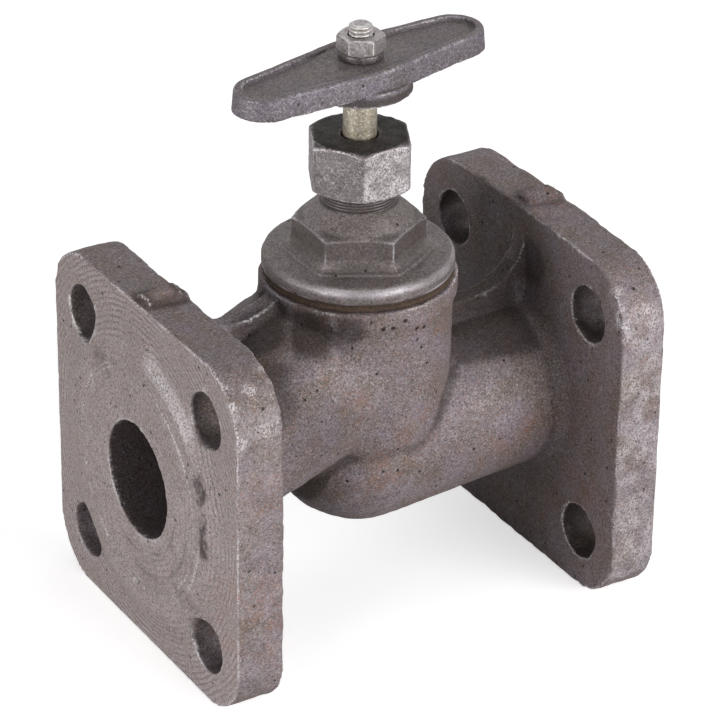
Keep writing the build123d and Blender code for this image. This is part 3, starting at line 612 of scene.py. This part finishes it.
for radius, start, stop, depth in casting["grooves"]:
    mark = (1 - ramp(np.abs(fromAxis - radius), 0.2, 0.8)) * ramp(around, start, start + 20) * (1 - ramp(around, stop - 25, stop)) * onLeft
    points[:, 0] += depth * mark
    groove = np.maximum(groove, mark * ramp(grainNoise(points, 3.0, 15), -0.6, 0.2))
lumpX, lumpY, lumpZ, lumpReach, lumpRise, lumpRough = casting["lumps"]
top = nearSpot(points, lumpX, lumpY, lumpZ, lumpReach) * ramp(points[:, 2], 86, 89)
points[:, 2] += top * (lumpRise + lumpRough * grainNoise(points, 4.0, 19))
nubY, leftRise, rightRise = casting["nub"]
nubRise = np.where(points[:, 0] < 0, leftRise * ramp(points[:, 0], -55, -47.5), rightRise * ramp(points[:, 0], 49, 55))
points[:, 2] += nubRise * ramp(points[:, 2], 88, 89.5) * (1 - ramp(np.abs(points[:, 1] - nubY), 2.2, 3.8))
seam = 1 - ramp(nearLine(points, casting["seam"]), 0.3, 1.5)
points -= normals * (casting["seamDepth"] * seam)[:, None]
writePoints(bodyMesh, points)

cast = np.clip(1 - 0.8 * turned * (1 - scar) - 0.6 * inside * (1 - turned), 0, 1)
wear, hollow = castSkin(bodyMesh, casting, cast, 11)
points, normals, edges = readMesh(bodyMesh)
level = points[:, 2] - pipeZ
wear *= 1 - np.where(points[:, 1] > 0, 0.9, 0.5) * (points[:, 0] > 20) * (points[:, 0] < 45) * (points[:, 1] > -9)
points[:, 2] = np.maximum(points[:, 2], 0)
writePoints(bodyMesh, points)
# rubbed bright spots, and the painted highlight on the right branch's lit front
for x, y, z, reach, share in casting["rubs"]:
    wear = np.maximum(wear, share * nearSpot(points, x, y, z, reach) * ramp(grainNoise(points, 2.0, 20), -0.3, 0.5))
wear = np.maximum(wear, 0.5 * worn * ramp(fromAxis, casting["bevelFrom"], casting["bevelFrom"] + 1) * (1 - ramp(fromAxis, casting["bevelTo"] - 2, casting["bevelTo"])))
# wear and painted highlight on the near sides of the flanges, which face the front lamp
side = np.where(points[:, 0] < 0, *casting["sideRub"]) * ramp(-normals[:, 1], 0.6, 0.9) * (points[:, 1] < -43) * (np.abs(points[:, 0]) > casting["flangeX"])
wear = np.maximum(wear, side * ramp(grainNoise(points, 2.4, 21), -0.8, 0.6))
wear = np.maximum(wear, 0.5 * groove * (fromAxis > 28))
# dirt in the scars and the tool marks, and painted shade in the bore
grime = np.maximum(np.maximum(scar, 0.45 * groove * (fromAxis < 28)), 0.75 * inside * (1 - turned))
grime = np.maximum(grime, 0.18 * seam)
shadeX, shadeLevel, shadeFall, shadeShare = casting["shade"]
shadeLine = shadeLevel - shadeFall * (points[:, 0] - shadeX) + 0.8 * grainNoise(points, 5.0, 22)
shade = shadeShare * ramp(level, shadeLine - 0.7, shadeLine + 0.9) * ramp(points[:, 0], shadeX, shadeX + 3) * (1 - ramp(points[:, 0], 42, 45)) * (fromStem > 23.6)
# painted shade over the right branch's top, and on the right flange's inner face
innerFace = ramp(-normals[:, 0], 0.7, 0.95) * (points[:, 0] > 44) * (points[:, 0] < 48)
grime = np.maximum(grime, np.maximum(shade * (normals[:, 1] < 0.3), 0.36 * innerFace))
# painted shade in the bolt holes, deep on the right flange and faint on the left
fromBolt = np.hypot(np.abs(points[:, 1]) - casting["boltY"], np.abs(points[:, 2] - pipeZ) - casting["boltY"])
grime = np.maximum(grime, np.where(points[:, 0] < 0, 0.12, 0.95) * (1 - ramp(fromBolt, casting["boltR"], casting["boltR"] + 0.4)) * (1 - turned))
# the left face is painted darker towards its top, as painted shade
grime = np.maximum(grime, 0.16 * ramp(level, -5, 35) * turned * (faceSide < 0))
# painted shade in the listed spots
for x, y, z, reach, share in casting["soots"]:
    ragged = np.linalg.norm(points - [x, y, z], axis=1) / reach + 0.12 * grainNoise(points, 3.0, 25)
    grime = np.maximum(grime, share * (1 - ramp(ragged, 0.5, 1.0)))
rusty = np.zeros(len(points))
for x, y, z, reach, share in casting["rusts"]:
    rusty = np.maximum(rusty, share * nearSpot(points, x, y, z, reach) * ramp(grainNoise(points, 3.0, 24), -0.6, 0.4))
rings = casting["ringLeast"] + (1 - casting["ringLeast"]) * ramp(fromAxis, *casting["ringFrom"])
paintPoints(bodyMesh, edgeWear=wear, hollow=hollow * (1 - 0.85 * turned) * (1 - 0.45 * ramp(points[:, 0], 36, 42)), grime=grime, turned=turned * (1 - 0.5 * scar), ringShow=rings, rusty=rusty)
bodyMesh = thinned(bodyMesh, casting["most"])
place(bodyMesh, "body", "body_iron", bodyIron, "valve_body")
print("casting skin:", len(bodyMesh.vertices), "points")


# Bonnet: rings of points about the stem's axis, whose radius is the lesser of the hexagon and the cone above it

bonnet = {
    "boreR": 6.05, "plugR": 16.98, "plugZ": 75.0, "rimZ": 87.5, "rimR": 23.0, "rimRound": 2.0, "rimTop": 91.7,
    "hexAcross": 28.0, "hexFlat": 0.0, "hexZ": 92.5, "hexTop": 100.1, "hexBevel": 3.5, "footRise": 2.0, "footReach": 2.2, "stepRise": 0.3, "threadR": 9.0, "threadZ": 104.6, "threadFrom": 103.0,
    "threadTop": 115.5, "pitch": 0.75, "starts": 2, "threadDepth": 0.45, "boxR": 6.5, "boxZ": 101.5, "stemR": 4.05, "stemZ": 98.5,
    "columns": 300, "step": 0.25, "round": 0.35,
    "ridgeBlur": 1, "hollowBlur": 6, "wearFrom": (0.12, 0.4), "wearSize": 5.0, "wearPatch": (-0.5, 0.4), "hollowFrom": (0.02, 0.14),
    "grain": [(0.05, 1.3, 1), (0.08, 3.0, 2), (0.1, 8.0, 3)], "chipSize": 2.2, "chipDepth": 0.2, "rimPolish": 0.5, "sideDirt": 0.6, "threadDirt": 0.5,
}


def threadRise(height, angle, pitch, depth, start, stop, starts=1):
    # a screw thread: a triangle wave with its crests cut flat, which climbs one pitch for each start a turn and fades
    # out at both ends
    phase = np.mod(height / pitch - starts * angle / (2 * math.pi), 1.0)
    wave = np.minimum(1.3 * np.abs(2 * phase - 1), 1)
    fade = ramp(height, start, start + pitch) * (1 - ramp(height, stop - 0.6 * pitch, stop))
    return depth * (wave - 1) * fade - depth * (1 - fade)


def bonnetGrid(size):
    angle = np.linspace(0, 2 * math.pi, size["columns"], endpoint=False)[None, :]
    hexR = softMin(hexRadius(angle, size["hexAcross"], size["hexFlat"]), size["hexAcross"] / 2 * 1.145, 0.5)
    below = profileLine([(size["boreR"], size["plugZ"]), (size["plugR"] - 1, size["plugZ"]), (size["plugR"], size["plugZ"] + 1),
                         (size["plugR"], size["rimZ"]), (size["rimR"] - 0.4, size["rimZ"]), (size["rimR"], size["rimZ"] + 0.4),
                         (size["rimR"], size["rimTop"] - size["rimRound"])], 3 * size["step"])
    turn = np.linspace(0, math.pi / 2, 10)[1:]
    rim = np.stack([size["rimR"] - size["rimRound"] * (1 - np.cos(turn)),
                    size["rimTop"] - size["rimRound"] * (1 - np.sin(turn))], axis=1)
    lower = np.vstack([below, rim])
    lowerPoints = spun(lower[:, :1] + 0 * angle, lower[:, 1:], angle)
    part = np.linspace(0, 1, 34)[1:, None]  # disc top: in towards the hexagon, over a low step, then curving up its foot
    innerR = hexR + 0.1
    crownR = lower[-1, 0] + (innerR - lower[-1, 0]) * part
    left = crownR - innerR
    foot = np.clip(1 - left / size["footReach"], 0, 1)
    step = 1 - ramp(left, size["footReach"] + 0.1, size["footReach"] + 0.9)
    crownZ = size["rimTop"] + (size["hexZ"] - size["rimTop"]) * part + size["stepRise"] * step + size["footRise"] * (1 - np.sqrt(1 - foot ** 2))
    crownPoints = spun(crownR, crownZ, angle)
    rise = np.arange(crownZ[-1, 0] + size["step"], size["threadZ"], size["step"])[:, None]
    coneR = np.where(rise < size["hexTop"], size["threadR"] + size["threadZ"] - size["hexTop"] + (size["hexTop"] - rise) * size["hexBevel"],
                     size["threadR"] + size["threadZ"] - rise)
    hexPoints = spun(softMin(hexR + 0 * rise, coneR + 0 * angle, size["round"]), rise, angle)
    climb = np.arange(size["threadZ"], size["threadTop"], 0.09)[:, None]
    threadR = size["threadR"] + threadRise(climb, angle, size["pitch"], size["threadDepth"], size["threadFrom"], size["threadTop"], size["starts"])
    threadPoints = spun(threadR, climb, angle)
    inner = profileLine([(size["threadR"] - size["threadDepth"], size["threadTop"]), (size["boxR"], size["threadTop"]),
                         (size["boxR"], size["boxZ"]), (size["stemR"], size["boxZ"]), (size["stemR"], size["stemZ"]),
                         (size["boreR"], size["stemZ"]), (size["boreR"], size["plugZ"] + 3 * size["step"])], 6 * size["step"])
    innerPoints = spun(inner[:, :1] + 0 * angle, inner[:, 1:], angle)
    return np.concatenate([lowerPoints, crownPoints, hexPoints, threadPoints, innerPoints])


bonnetMesh = gridMesh("bonnetSkin", bonnetGrid(bonnet), True)
points, normals, edges = readMesh(bonnetMesh)
fromStem = np.hypot(points[:, 0], points[:, 1])
cast = ramp(points[:, 2], bonnet["rimZ"], bonnet["rimZ"] + 0.6) * (1 - ramp(points[:, 2], bonnet["threadZ"] - 1, bonnet["threadZ"]))
wear, hollow = castSkin(bonnetMesh, bonnet, cast * ramp(fromStem, 7.0, 8.0), 23)
rim = ramp(fromStem, 21.9, 22.4) * ramp(points[:, 2], 89.4, 90.0) * ramp(-points[:, 1], -6, 14)  # painted highlight along the front of the rim's rounded edge
wear = np.maximum(wear, bonnet["rimPolish"] * rim * (0.25 + 0.75 * ramp(grainNoise(points, 5.0, 27), -0.3, 0.6)))
onHex = ramp(points[:, 2], bonnet["hexZ"] + 0.5, bonnet["hexZ"] + 1.5)
turn = np.mod(np.arctan2(points[:, 1], points[:, 0]) - bonnet["hexFlat"] + math.pi / 6, math.pi / 3) - math.pi / 6
wear *= (1 - 0.4 * onHex) * (1 - 0.75 * onHex * (1 - ramp(np.abs(turn), math.radians(17), math.radians(27))))  # corners are rubbed most
groove = ramp(points[:, 2], bonnet["threadZ"] - 0.2, bonnet["threadZ"]) * ramp(bonnet["threadR"] - fromStem, 0.1, 0.35) * (fromStem > 8.3)
# painted shade on the hexagon's upright sides and on the thread below the gland nut
sides = (1 - ramp(np.abs(normals[:, 2]), 0.2, 0.5)) * ramp(points[:, 2], bonnet["hexZ"], bonnet["hexZ"] + 1.5)
onThread = ramp(points[:, 2], bonnet["threadZ"] - 0.3, bonnet["threadZ"])
paintPoints(bonnetMesh, edgeWear=wear * (1 - groove) * (1 - 0.75 * onThread), hollow=np.maximum(hollow, groove),
            grime=np.maximum(bonnet["sideDirt"] * sides, bonnet["threadDirt"] * onThread))
place(bonnetMesh, "body", "bonnet_iron", bonnetIron, "bonnet")
print("bonnet:", len(bonnetMesh.vertices), "points")


# Gasket: a ring between rounded edges, squeezed out unevenly to the bonnet's edge

gasket = {"innerR": 17.02, "outerR": 22.7, "low": 85.52, "high": 87.48, "rough": 0.25, "columns": 300}
angle = np.linspace(0, 2 * math.pi, gasket["columns"], endpoint=False)[None, :]
outline = profileLine([(gasket["innerR"], gasket["low"]), (gasket["outerR"] - 0.4, gasket["low"]), (gasket["outerR"], gasket["low"] + 0.4),
                       (gasket["outerR"], gasket["high"] - 0.9), (gasket["outerR"] - 0.8, gasket["high"]), (gasket["innerR"], gasket["high"])], 0.4)
gasketPoints = spun(outline[:, :1] + 0 * angle, outline[:, 1:], angle)
bulge = 1 + gasket["rough"] / gasket["outerR"] * grainNoise(gasketPoints.reshape(-1, 3), 2.0, 61).reshape(gasketPoints.shape[:2])
gasketPoints[..., :2] *= np.where(outline[:, :1] > 22, bulge, 1)[..., None]
gasketMesh = gridMesh("gasketSkin", gasketPoints, True)
place(gasketMesh, "body", "gasket_fibre", gasketFibre, "bonnet_gasket")
print("gasket:", len(gasketMesh.vertices), "points")


# Gland nut: a cap nut, whose radius is the lesser of the hexagon and a flat cone at each end

gland = {
    "low": 108.5, "high": 121.3, "across": 23.0, "flat": math.radians(34.1), "cornerShare": 1.14, "cornerRound": 0.4, "bevelSlope": 1.9,
    "cavityR": 9.05, "cavityTop": 119.05, "holeR": 4.5, "columns": 264, "step": 0.25, "round": 0.45,
    "ridgeBlur": 1, "hollowBlur": 6, "wearFrom": (0.1, 0.4), "wearSize": 4.0, "wearPatch": (-0.6, 0.5), "hollowFrom": (0.02, 0.12),
    "grain": [(0.05, 1.2, 1), (0.07, 2.6, 2), (0.08, 7.0, 3)], "chipSize": 2.0, "chipDepth": 0.25, "clean": 0.72, "dirty": 0.34,  # one facet gets a painted highlight, the one beside it painted shade
}


def nutGrid(size):
    # closed loop: up the outside, in over the top, down the hole and the cavity, out along the foot
    angle = np.linspace(0, 2 * math.pi, size["columns"], endpoint=False)[None, :]
    hexR = softMin(hexRadius(angle, size["across"], size["flat"]), size["across"] / 2 * size["cornerShare"], size["cornerRound"])
    rise = np.arange(size["low"], size["high"] + 1e-6, size["step"])[:, None]
    upperR = size["across"] / 2 + (size["high"] - rise) * size["bevelSlope"]
    lowerR = size["across"] / 2 + (rise - size["low"]) * size["bevelSlope"]
    bevelR = np.minimum(upperR, lowerR)
    sides = spun(softMin(hexR + 0 * rise, bevelR + 0 * angle, size["round"]), rise, angle)
    edgeR = size["across"] / 2 - 0.5
    inner = profileLine([(edgeR, size["high"]), (size["holeR"] + 0.3, size["high"]), (size["holeR"], size["high"] - 0.3),
                         (size["holeR"], size["cavityTop"]), (size["cavityR"], size["cavityTop"]), (size["cavityR"], size["low"] + 0.5),
                         (size["cavityR"] + 0.5, size["low"]), (edgeR, size["low"])], 2 * size["step"])
    return np.concatenate([sides, spun(inner[:, :1] + 0 * angle, inner[:, 1:], angle)])


glandMesh = gridMesh("glandNutSkin", nutGrid(gland), True)
points, normals, edges = readMesh(glandMesh)
fromStem = np.hypot(points[:, 0], points[:, 1])
topFace = ramp(points[:, 2], gland["high"] - 0.8, gland["high"] - 0.2)
wear, hollow = castSkin(glandMesh, gland, ramp(fromStem, 9.3, 10.2) + topFace * ramp(fromStem, 4.7, 6.0) * (fromStem < 9.3), 31)
oily = ramp(normals[:, 2], 0.7, 0.95) * topFace * (0.9 + 0.1 * grainNoise(points, 2.5, 33))  # old grease lies on the top, with the handle's shadow painted over it
# painted highlight on the facet facing the front, painted shade on the facet left of it
toward = np.arctan2(normals[:, 1], normals[:, 0]) - gland["flat"]
upright = 1 - ramp(np.abs(normals[:, 2]), 0.3, 0.6)
dirty, clean = [upright * ramp(np.cos(toward + math.radians(turn)), 0.88, 0.96) * (fromStem > 10) for turn in (180, 120)]
wear = np.maximum(wear, gland["clean"] * clean * ramp(grainNoise(points, 2.0, 34), -0.9, 0.4))
paintPoints(glandMesh, edgeWear=wear, hollow=hollow, grime=np.maximum(oily, gland["dirty"] * dirty))
place(glandMesh, "gland_nut", "gland_iron", glandIron, "gland_nut")
print("gland nut:", len(glandMesh.vertices), "points")


# Stem: rings of points up the axis, with the lifting thread, the plain shank, the square and the threaded tip

stem = {
    "end": 57.55, "endR": 5.0, "grooveLow": 60.7, "grooveHigh": 62.2, "grooveR": 3.95, "threadLow": 66.05, "threadHigh": 87.05,
    "threadR": 6.0, "pitch": 3.0, "threadDepth": 1.6, "shankR": 4.0, "squareLow": 132.8, "squareHigh": 140.58,
    "square": 6.0, "squareTurn": math.radians(8.8), "tipTop": 149.0, "tipR": 2.85, "tipPitch": 1.0, "tipDepth": 0.5, "columns": 96,
}


def stemGrid(size):
    angle = np.linspace(0, 2 * math.pi, size["columns"], endpoint=False)[None, :]
    foot = profileLine([(0, size["end"]), (size["endR"] - 0.4, size["end"]), (size["endR"], size["end"] + 0.4),
                        (size["endR"], size["grooveLow"]), (size["grooveR"], size["grooveLow"]),
                        (size["grooveR"], size["grooveHigh"]), (size["endR"], size["grooveHigh"]),
                        (size["endR"], size["threadLow"])], 1.0)
    footPoints = spun(foot[:, :1] + 0 * angle, foot[:, 1:], angle)
    climb = np.arange(size["threadLow"] + 0.02, size["threadHigh"], 0.25)[:, None]
    liftR = size["threadR"] + threadRise(climb, angle, size["pitch"], size["threadDepth"], size["threadLow"] - 2, size["threadHigh"])
    shank = np.arange(size["threadHigh"], size["squareLow"], 0.8)[:, None]
    side = size["square"] / 2
    turn = np.mod(angle - size["squareTurn"] + math.pi / 4, math.pi / 2) - math.pi / 4
    squareR = softMin(side / np.cos(turn), size["shankR"] + 0 * angle, 0.3)
    squareZ = np.linspace(size["squareLow"], size["squareHigh"], 6)[:, None]
    tip = np.arange(size["squareHigh"], size["tipTop"] - 0.4, 0.08)[:, None]
    tipR = size["tipR"] + threadRise(tip, angle, size["tipPitch"], size["tipDepth"], size["squareHigh"] - 1, size["tipTop"] + 0.6)
    tipR = np.minimum(tipR, size["tipR"] - 0.1 + 1.2 * (size["tipTop"] - 0.4 - tip))
    cap = profileLine([(size["tipR"] - 0.35, size["tipTop"] - 0.3), (size["tipR"] - 0.8, size["tipTop"]), (0, size["tipTop"])], 0.4)
    return np.concatenate([footPoints, spun(liftR, climb, angle), spun(size["shankR"] + 0 * angle + 0 * shank, shank, angle),
                           spun(squareR + 0 * squareZ, squareZ, angle), spun(tipR, tip, angle),
                           spun(cap[:, :1] + 0 * angle, cap[:, 1:], angle)])


stemMesh = gridMesh("stemSkin", stemGrid(stem), False)
points, normals, edges = readMesh(stemMesh)
ridge = bend(points, normals, edges)
paintPoints(stemMesh, edgeWear=0.5 * ramp(ridge, 0.3, 1.2), hollow=ramp(-spread(ridge, edges, 2), 0.15, 0.8),
            bare=ramp(points[:, 2], stem["squareLow"], stem["squareHigh"]))
place(stemMesh, "stem", "zinc_steel", stemSteel, "stem")
print("stem:", len(stemMesh.vertices), "points")


# Handle nut and its split washer

handleNut = {"low": 142.5, "high": 146.4, "across": 10.0, "flat": 0.0, "cornerShare": 1.145, "cornerRound": 0.12, "bevelSlope": 1.8, "cavityR": 3.05,
             "cavityTop": 146.0, "holeR": 3.05, "columns": 216, "step": 0.14, "round": 0.15}
nutMesh = gridMesh("handleNutSkin", nutGrid(handleNut), True)
points, normals, edges = readMesh(nutMesh)
ridge = spread(bend(points, normals, edges), edges, 1)
writePoints(nutMesh, points + normals * (0.03 * grainNoise(points, 0.9, 41) * ramp(np.hypot(points[:, 0], points[:, 1]), 3.3, 4.0))[:, None])
paintPoints(nutMesh, edgeWear=0.6 * ramp(ridge, 0.2, 0.8) * ramp(grainNoise(points, 1.5, 43), -0.5, 0.4), hollow=ramp(-ridge, 0.2, 0.8))
place(nutMesh, "stem", "plain_steel", nutSteel, "handle_nut")

washer = {"low": 140.6, "high": 142.5, "innerR": 3.06, "outerR": 5.3, "gap": math.radians(6), "columns": 120, "round": 0.25}


def washerGrid(size):
    # a rounded oblong section carried round the stem from one side of the slit to the other
    angle = math.pi / 2 + np.linspace(size["gap"], 2 * math.pi - size["gap"], size["columns"])[:, None]
    turn = np.linspace(0, 2 * math.pi, 24, endpoint=False)[None, :]
    halfR, halfZ = (size["outerR"] - size["innerR"]) / 2, (size["high"] - size["low"]) / 2
    power = 0.35
    offR = halfR * np.sign(np.cos(turn)) * np.abs(np.cos(turn)) ** power
    offZ = halfZ * np.sign(np.sin(turn)) * np.abs(np.sin(turn)) ** power
    radius = (size["outerR"] + size["innerR"]) / 2 + offR + 0 * angle
    body = np.stack([radius * np.cos(angle), radius * np.sin(angle), (size["high"] + size["low"]) / 2 + offZ + 0 * angle], axis=-1)
    ends = [np.repeat(body[i].mean(axis=0)[None, None], body.shape[1], axis=1) for i in (0, -1)]
    return np.concatenate([ends[0], body, ends[1]])


washerMesh = gridMesh("lockWasherSkin", washerGrid(washer), False)
points, normals, edges = readMesh(washerMesh)
paintPoints(washerMesh, edgeWear=ramp(bend(points, normals, edges), 0.5, 2.0), hollow=np.zeros(len(points)))
place(washerMesh, "stem", "plain_steel", washerSteel, "lock_washer")
print("handle nut and washer done")


# Handle: a cast bar, skinned as the body is

handle = {
    "voxel": 0.42, "smoothing": 3, "most": 120000,
    "ridgeBlur": 1, "hollowBlur": 10, "wearFrom": (0.16, 0.36), "wearSize": 5.0, "wearPatch": (-0.5, 0.4), "hollowFrom": (0.02, 0.1),
    "grain": [(0.04, 1.2, 1), (0.05, 2.8, 2), (0.06, 8.0, 3)], "chipSize": 2.2, "chipDepth": 0.15, "bossTop": 135.3,
    "turn": math.radians(8.8), "floorZ": 139.8, "padRise": 0.8, "padFrom": 6.0, "padTo": 15.0, "pocketR": 8.4, "pocketEndR": 5.1, "pocketX": 28.2,
}


def insidePocket(points, size):
    # how far inside the pocket's outline, mm: two straight sides that run from a wide middle to narrow ends
    along = np.abs(points[:, 0] * math.cos(size["turn"]) + points[:, 1] * math.sin(size["turn"]))
    aside = np.abs(points[:, 1] * math.cos(size["turn"]) - points[:, 0] * math.sin(size["turn"]))
    lean = (size["pocketR"] - size["pocketEndR"]) / size["pocketX"]
    upright = math.sqrt(1 - lean ** 2)
    past = upright * along - lean * aside
    straight = upright * aside + lean * along - size["pocketR"]
    end = np.hypot(aside, along - size["pocketX"]) - size["pocketEndR"]
    middle = np.hypot(aside, along) - size["pocketR"]
    return -np.where(past < 0, middle, np.where(past > upright * size["pocketX"], end, straight))



handleMesh = remeshed("handleSkin", "handle", handle["voxel"], handle["smoothing"])
points, normals, edges = readMesh(handleMesh)
fromStem = np.hypot(points[:, 0], points[:, 1])
swell = handle["floorZ"] + handle["padRise"] * (1 - ramp(fromStem, handle["padFrom"], handle["padTo"]))
onFloor = (insidePocket(points, handle) > 0.25) & (fromStem > handle["padFrom"]) & (points[:, 2] > handle["floorZ"] - 0.3)
points[:, 2] = np.where(onFloor, swell, points[:, 2])
writePoints(handleMesh, points)
points, normals, edges = readMesh(handleMesh)
wear, hollow = castSkin(handleMesh, handle, ramp(np.hypot(points[:, 0], points[:, 1]), 4.8, 6.0), 53)
dusty = ramp(normals[:, 2], 0.7, 0.95) * (0.75 + 0.25 * grainNoise(points, 5.0, 55))  # what faces up is painted brown: dust, and painted light from above
under = 1 - ramp(points[:, 2], handle["bossTop"] - 0.5, handle["bossTop"] - 0.1)  # painted shade on the boss under the handle
paintPoints(handleMesh, edgeWear=wear, hollow=hollow, grime=0.9 * under, rusty=dusty)
handleMesh = thinned(handleMesh, handle["most"])
place(handleMesh, "stem", "handle_iron", handleIron, "handle")
print("handle:", len(handleMesh.vertices), "points")


# Nodes that keep their solids and take a finish

finishes = {
    "gland_follower": washerSteel, "disc": bonnetIron, "disc_seal": softSeal,
    "seal_washer": nutSteel, "seal_nut": nutSteel, "disc_retaining_ring": washerSteel,
}
finishes.update({"packing_ring_%d" % (i + 1): packingFibre for i in range(4)})
for node, material in finishes.items():
    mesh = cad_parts[node].data
    mesh.materials.clear()
    mesh.materials.append(material)
print("finished nodes:", len(finishes))


# Camera at the photograph's view: the angles, the distance and the lens are fitted to the flanges' corners and holes

view = {"azimuth": -0.544018, "elevation": 0.514830, "roll": -0.012543, "yaw": 0.000814, "pitch": -0.015335, "distance": 911.82, "focal": 3758.62}
flat = math.cos(view["elevation"])
back = np.array([math.sin(view["azimuth"]) * flat, -math.cos(view["azimuth"]) * flat, math.sin(view["elevation"])])
across = np.cross([0, 0, 1], back)
across /= np.linalg.norm(across)
upright = np.array([across, np.cross(back, across), back])
tilt = (Matrix.Rotation(view["roll"], 3, "Z") @ Matrix.Rotation(view["pitch"], 3, "X") @ Matrix.Rotation(view["yaw"], 3, "Y"))
axes = np.array(tilt) @ upright
cameraData = bpy.data.cameras.new("photoView")
cameraData.sensor_width = 36.0
cameraData.lens = 36.0 * view["focal"] / 720
cameraData.clip_start = 0.05
camera = bpy.data.objects.new("photoView", cameraData)
scene.collection.objects.link(camera)
spot = back * view["distance"] + [0, 0, pipeZ]
pose = np.eye(4)
pose[:3, :3] = axes.T
pose[:3, 3] = spot * mm
camera.matrix_world = Matrix(pose.tolist())
scene.camera = camera


# Soft studio light: a large lamp low at the front, a smaller one at the left, and little from above

lamps = {
    "front": {"from": (0.40, -1.03, 0.28), "size": 0.9, "power": 14.8},
    "left": {"from": (-1.1, -0.16, 0.08), "size": 0.6, "power": 15.0},
    "above": {"from": (0.1, 0.2, 1.2), "size": 1.0, "power": 2.6},
}
target = np.array([0, 0, 0.06])
for name, lamp in lamps.items():
    lampData = bpy.data.lights.new(name, "AREA")
    lampData.shape = "DISK"
    lampData.size = lamp["size"]
    lampData.energy = lamp["power"]
    light = bpy.data.objects.new(name, lampData)
    scene.collection.objects.link(light)
    away = np.array(lamp["from"]) - target
    away /= np.linalg.norm(away)
    side = np.cross([0, 0, 1], away)
    side /= np.linalg.norm(side)
    pose = np.eye(4)
    pose[:3, :3] = np.array([side, np.cross(away, side), away]).T
    pose[:3, 3] = lamp["from"]
    light.matrix_world = Matrix(pose.tolist())

world = bpy.data.worlds.new("paleStudio")
world.use_nodes = True
scene.world = world
tree = world.node_tree
tree.nodes.clear()
path = addNode(tree, "ShaderNodeLightPath")
mirrored = addNode(tree, "ShaderNodeMath", {0: path.outputs["Is Glossy Ray"], 1: path.outputs["Is Transmission Ray"]}, operation="MAXIMUM")
seen = addNode(tree, "ShaderNodeMath", {0: path.outputs["Is Camera Ray"], 1: mirrored.outputs[0]}, operation="MAXIMUM")
strength = addNode(tree, "ShaderNodeMapRange", {"Value": seen.outputs[0], "To Min": 0.18, "To Max": 1.0})
glow = addNode(tree, "ShaderNodeBackground", {"Color": (1, 1, 1, 1), "Strength": strength.outputs["Result"]})
addNode(tree, "ShaderNodeOutputWorld", {"Surface": glow.outputs["Background"]})

floorMesh = bpy.data.meshes.new("floor")
reach = 6.0
floorMesh.from_pydata([(-reach, -reach, 0), (reach, -reach, 0), (reach, reach, 0), (-reach, reach, 0)], [], [(0, 1, 2, 3)])
floor = bpy.data.objects.new("floor", floorMesh)
scene.collection.objects.link(floor)
floorMatte, tree = newMaterial("whitePaperFloor")  # matt white paper, which only the lens sees a little brighter
path = addNode(tree, "ShaderNodeLightPath")
paper = addNode(tree, "ShaderNodeBsdfDiffuse", {"Color": linear("#f2f1f1")})
lift = addNode(tree, "ShaderNodeMath", {0: path.outputs["Is Camera Ray"], 1: 0.6}, operation="MULTIPLY")
shine = addNode(tree, "ShaderNodeEmission", {"Color": (1, 1, 1, 1), "Strength": lift.outputs[0]})
both = addNode(tree, "ShaderNodeAddShader", {0: paper.outputs["BSDF"], 1: shine.outputs["Emission"]})
addNode(tree, "ShaderNodeOutputMaterial", {"Surface": both.outputs["Shader"]})
floorMesh.materials.append(floorMatte)

scene.view_settings.view_transform = "Standard"
print("camera, lamps and floor done")
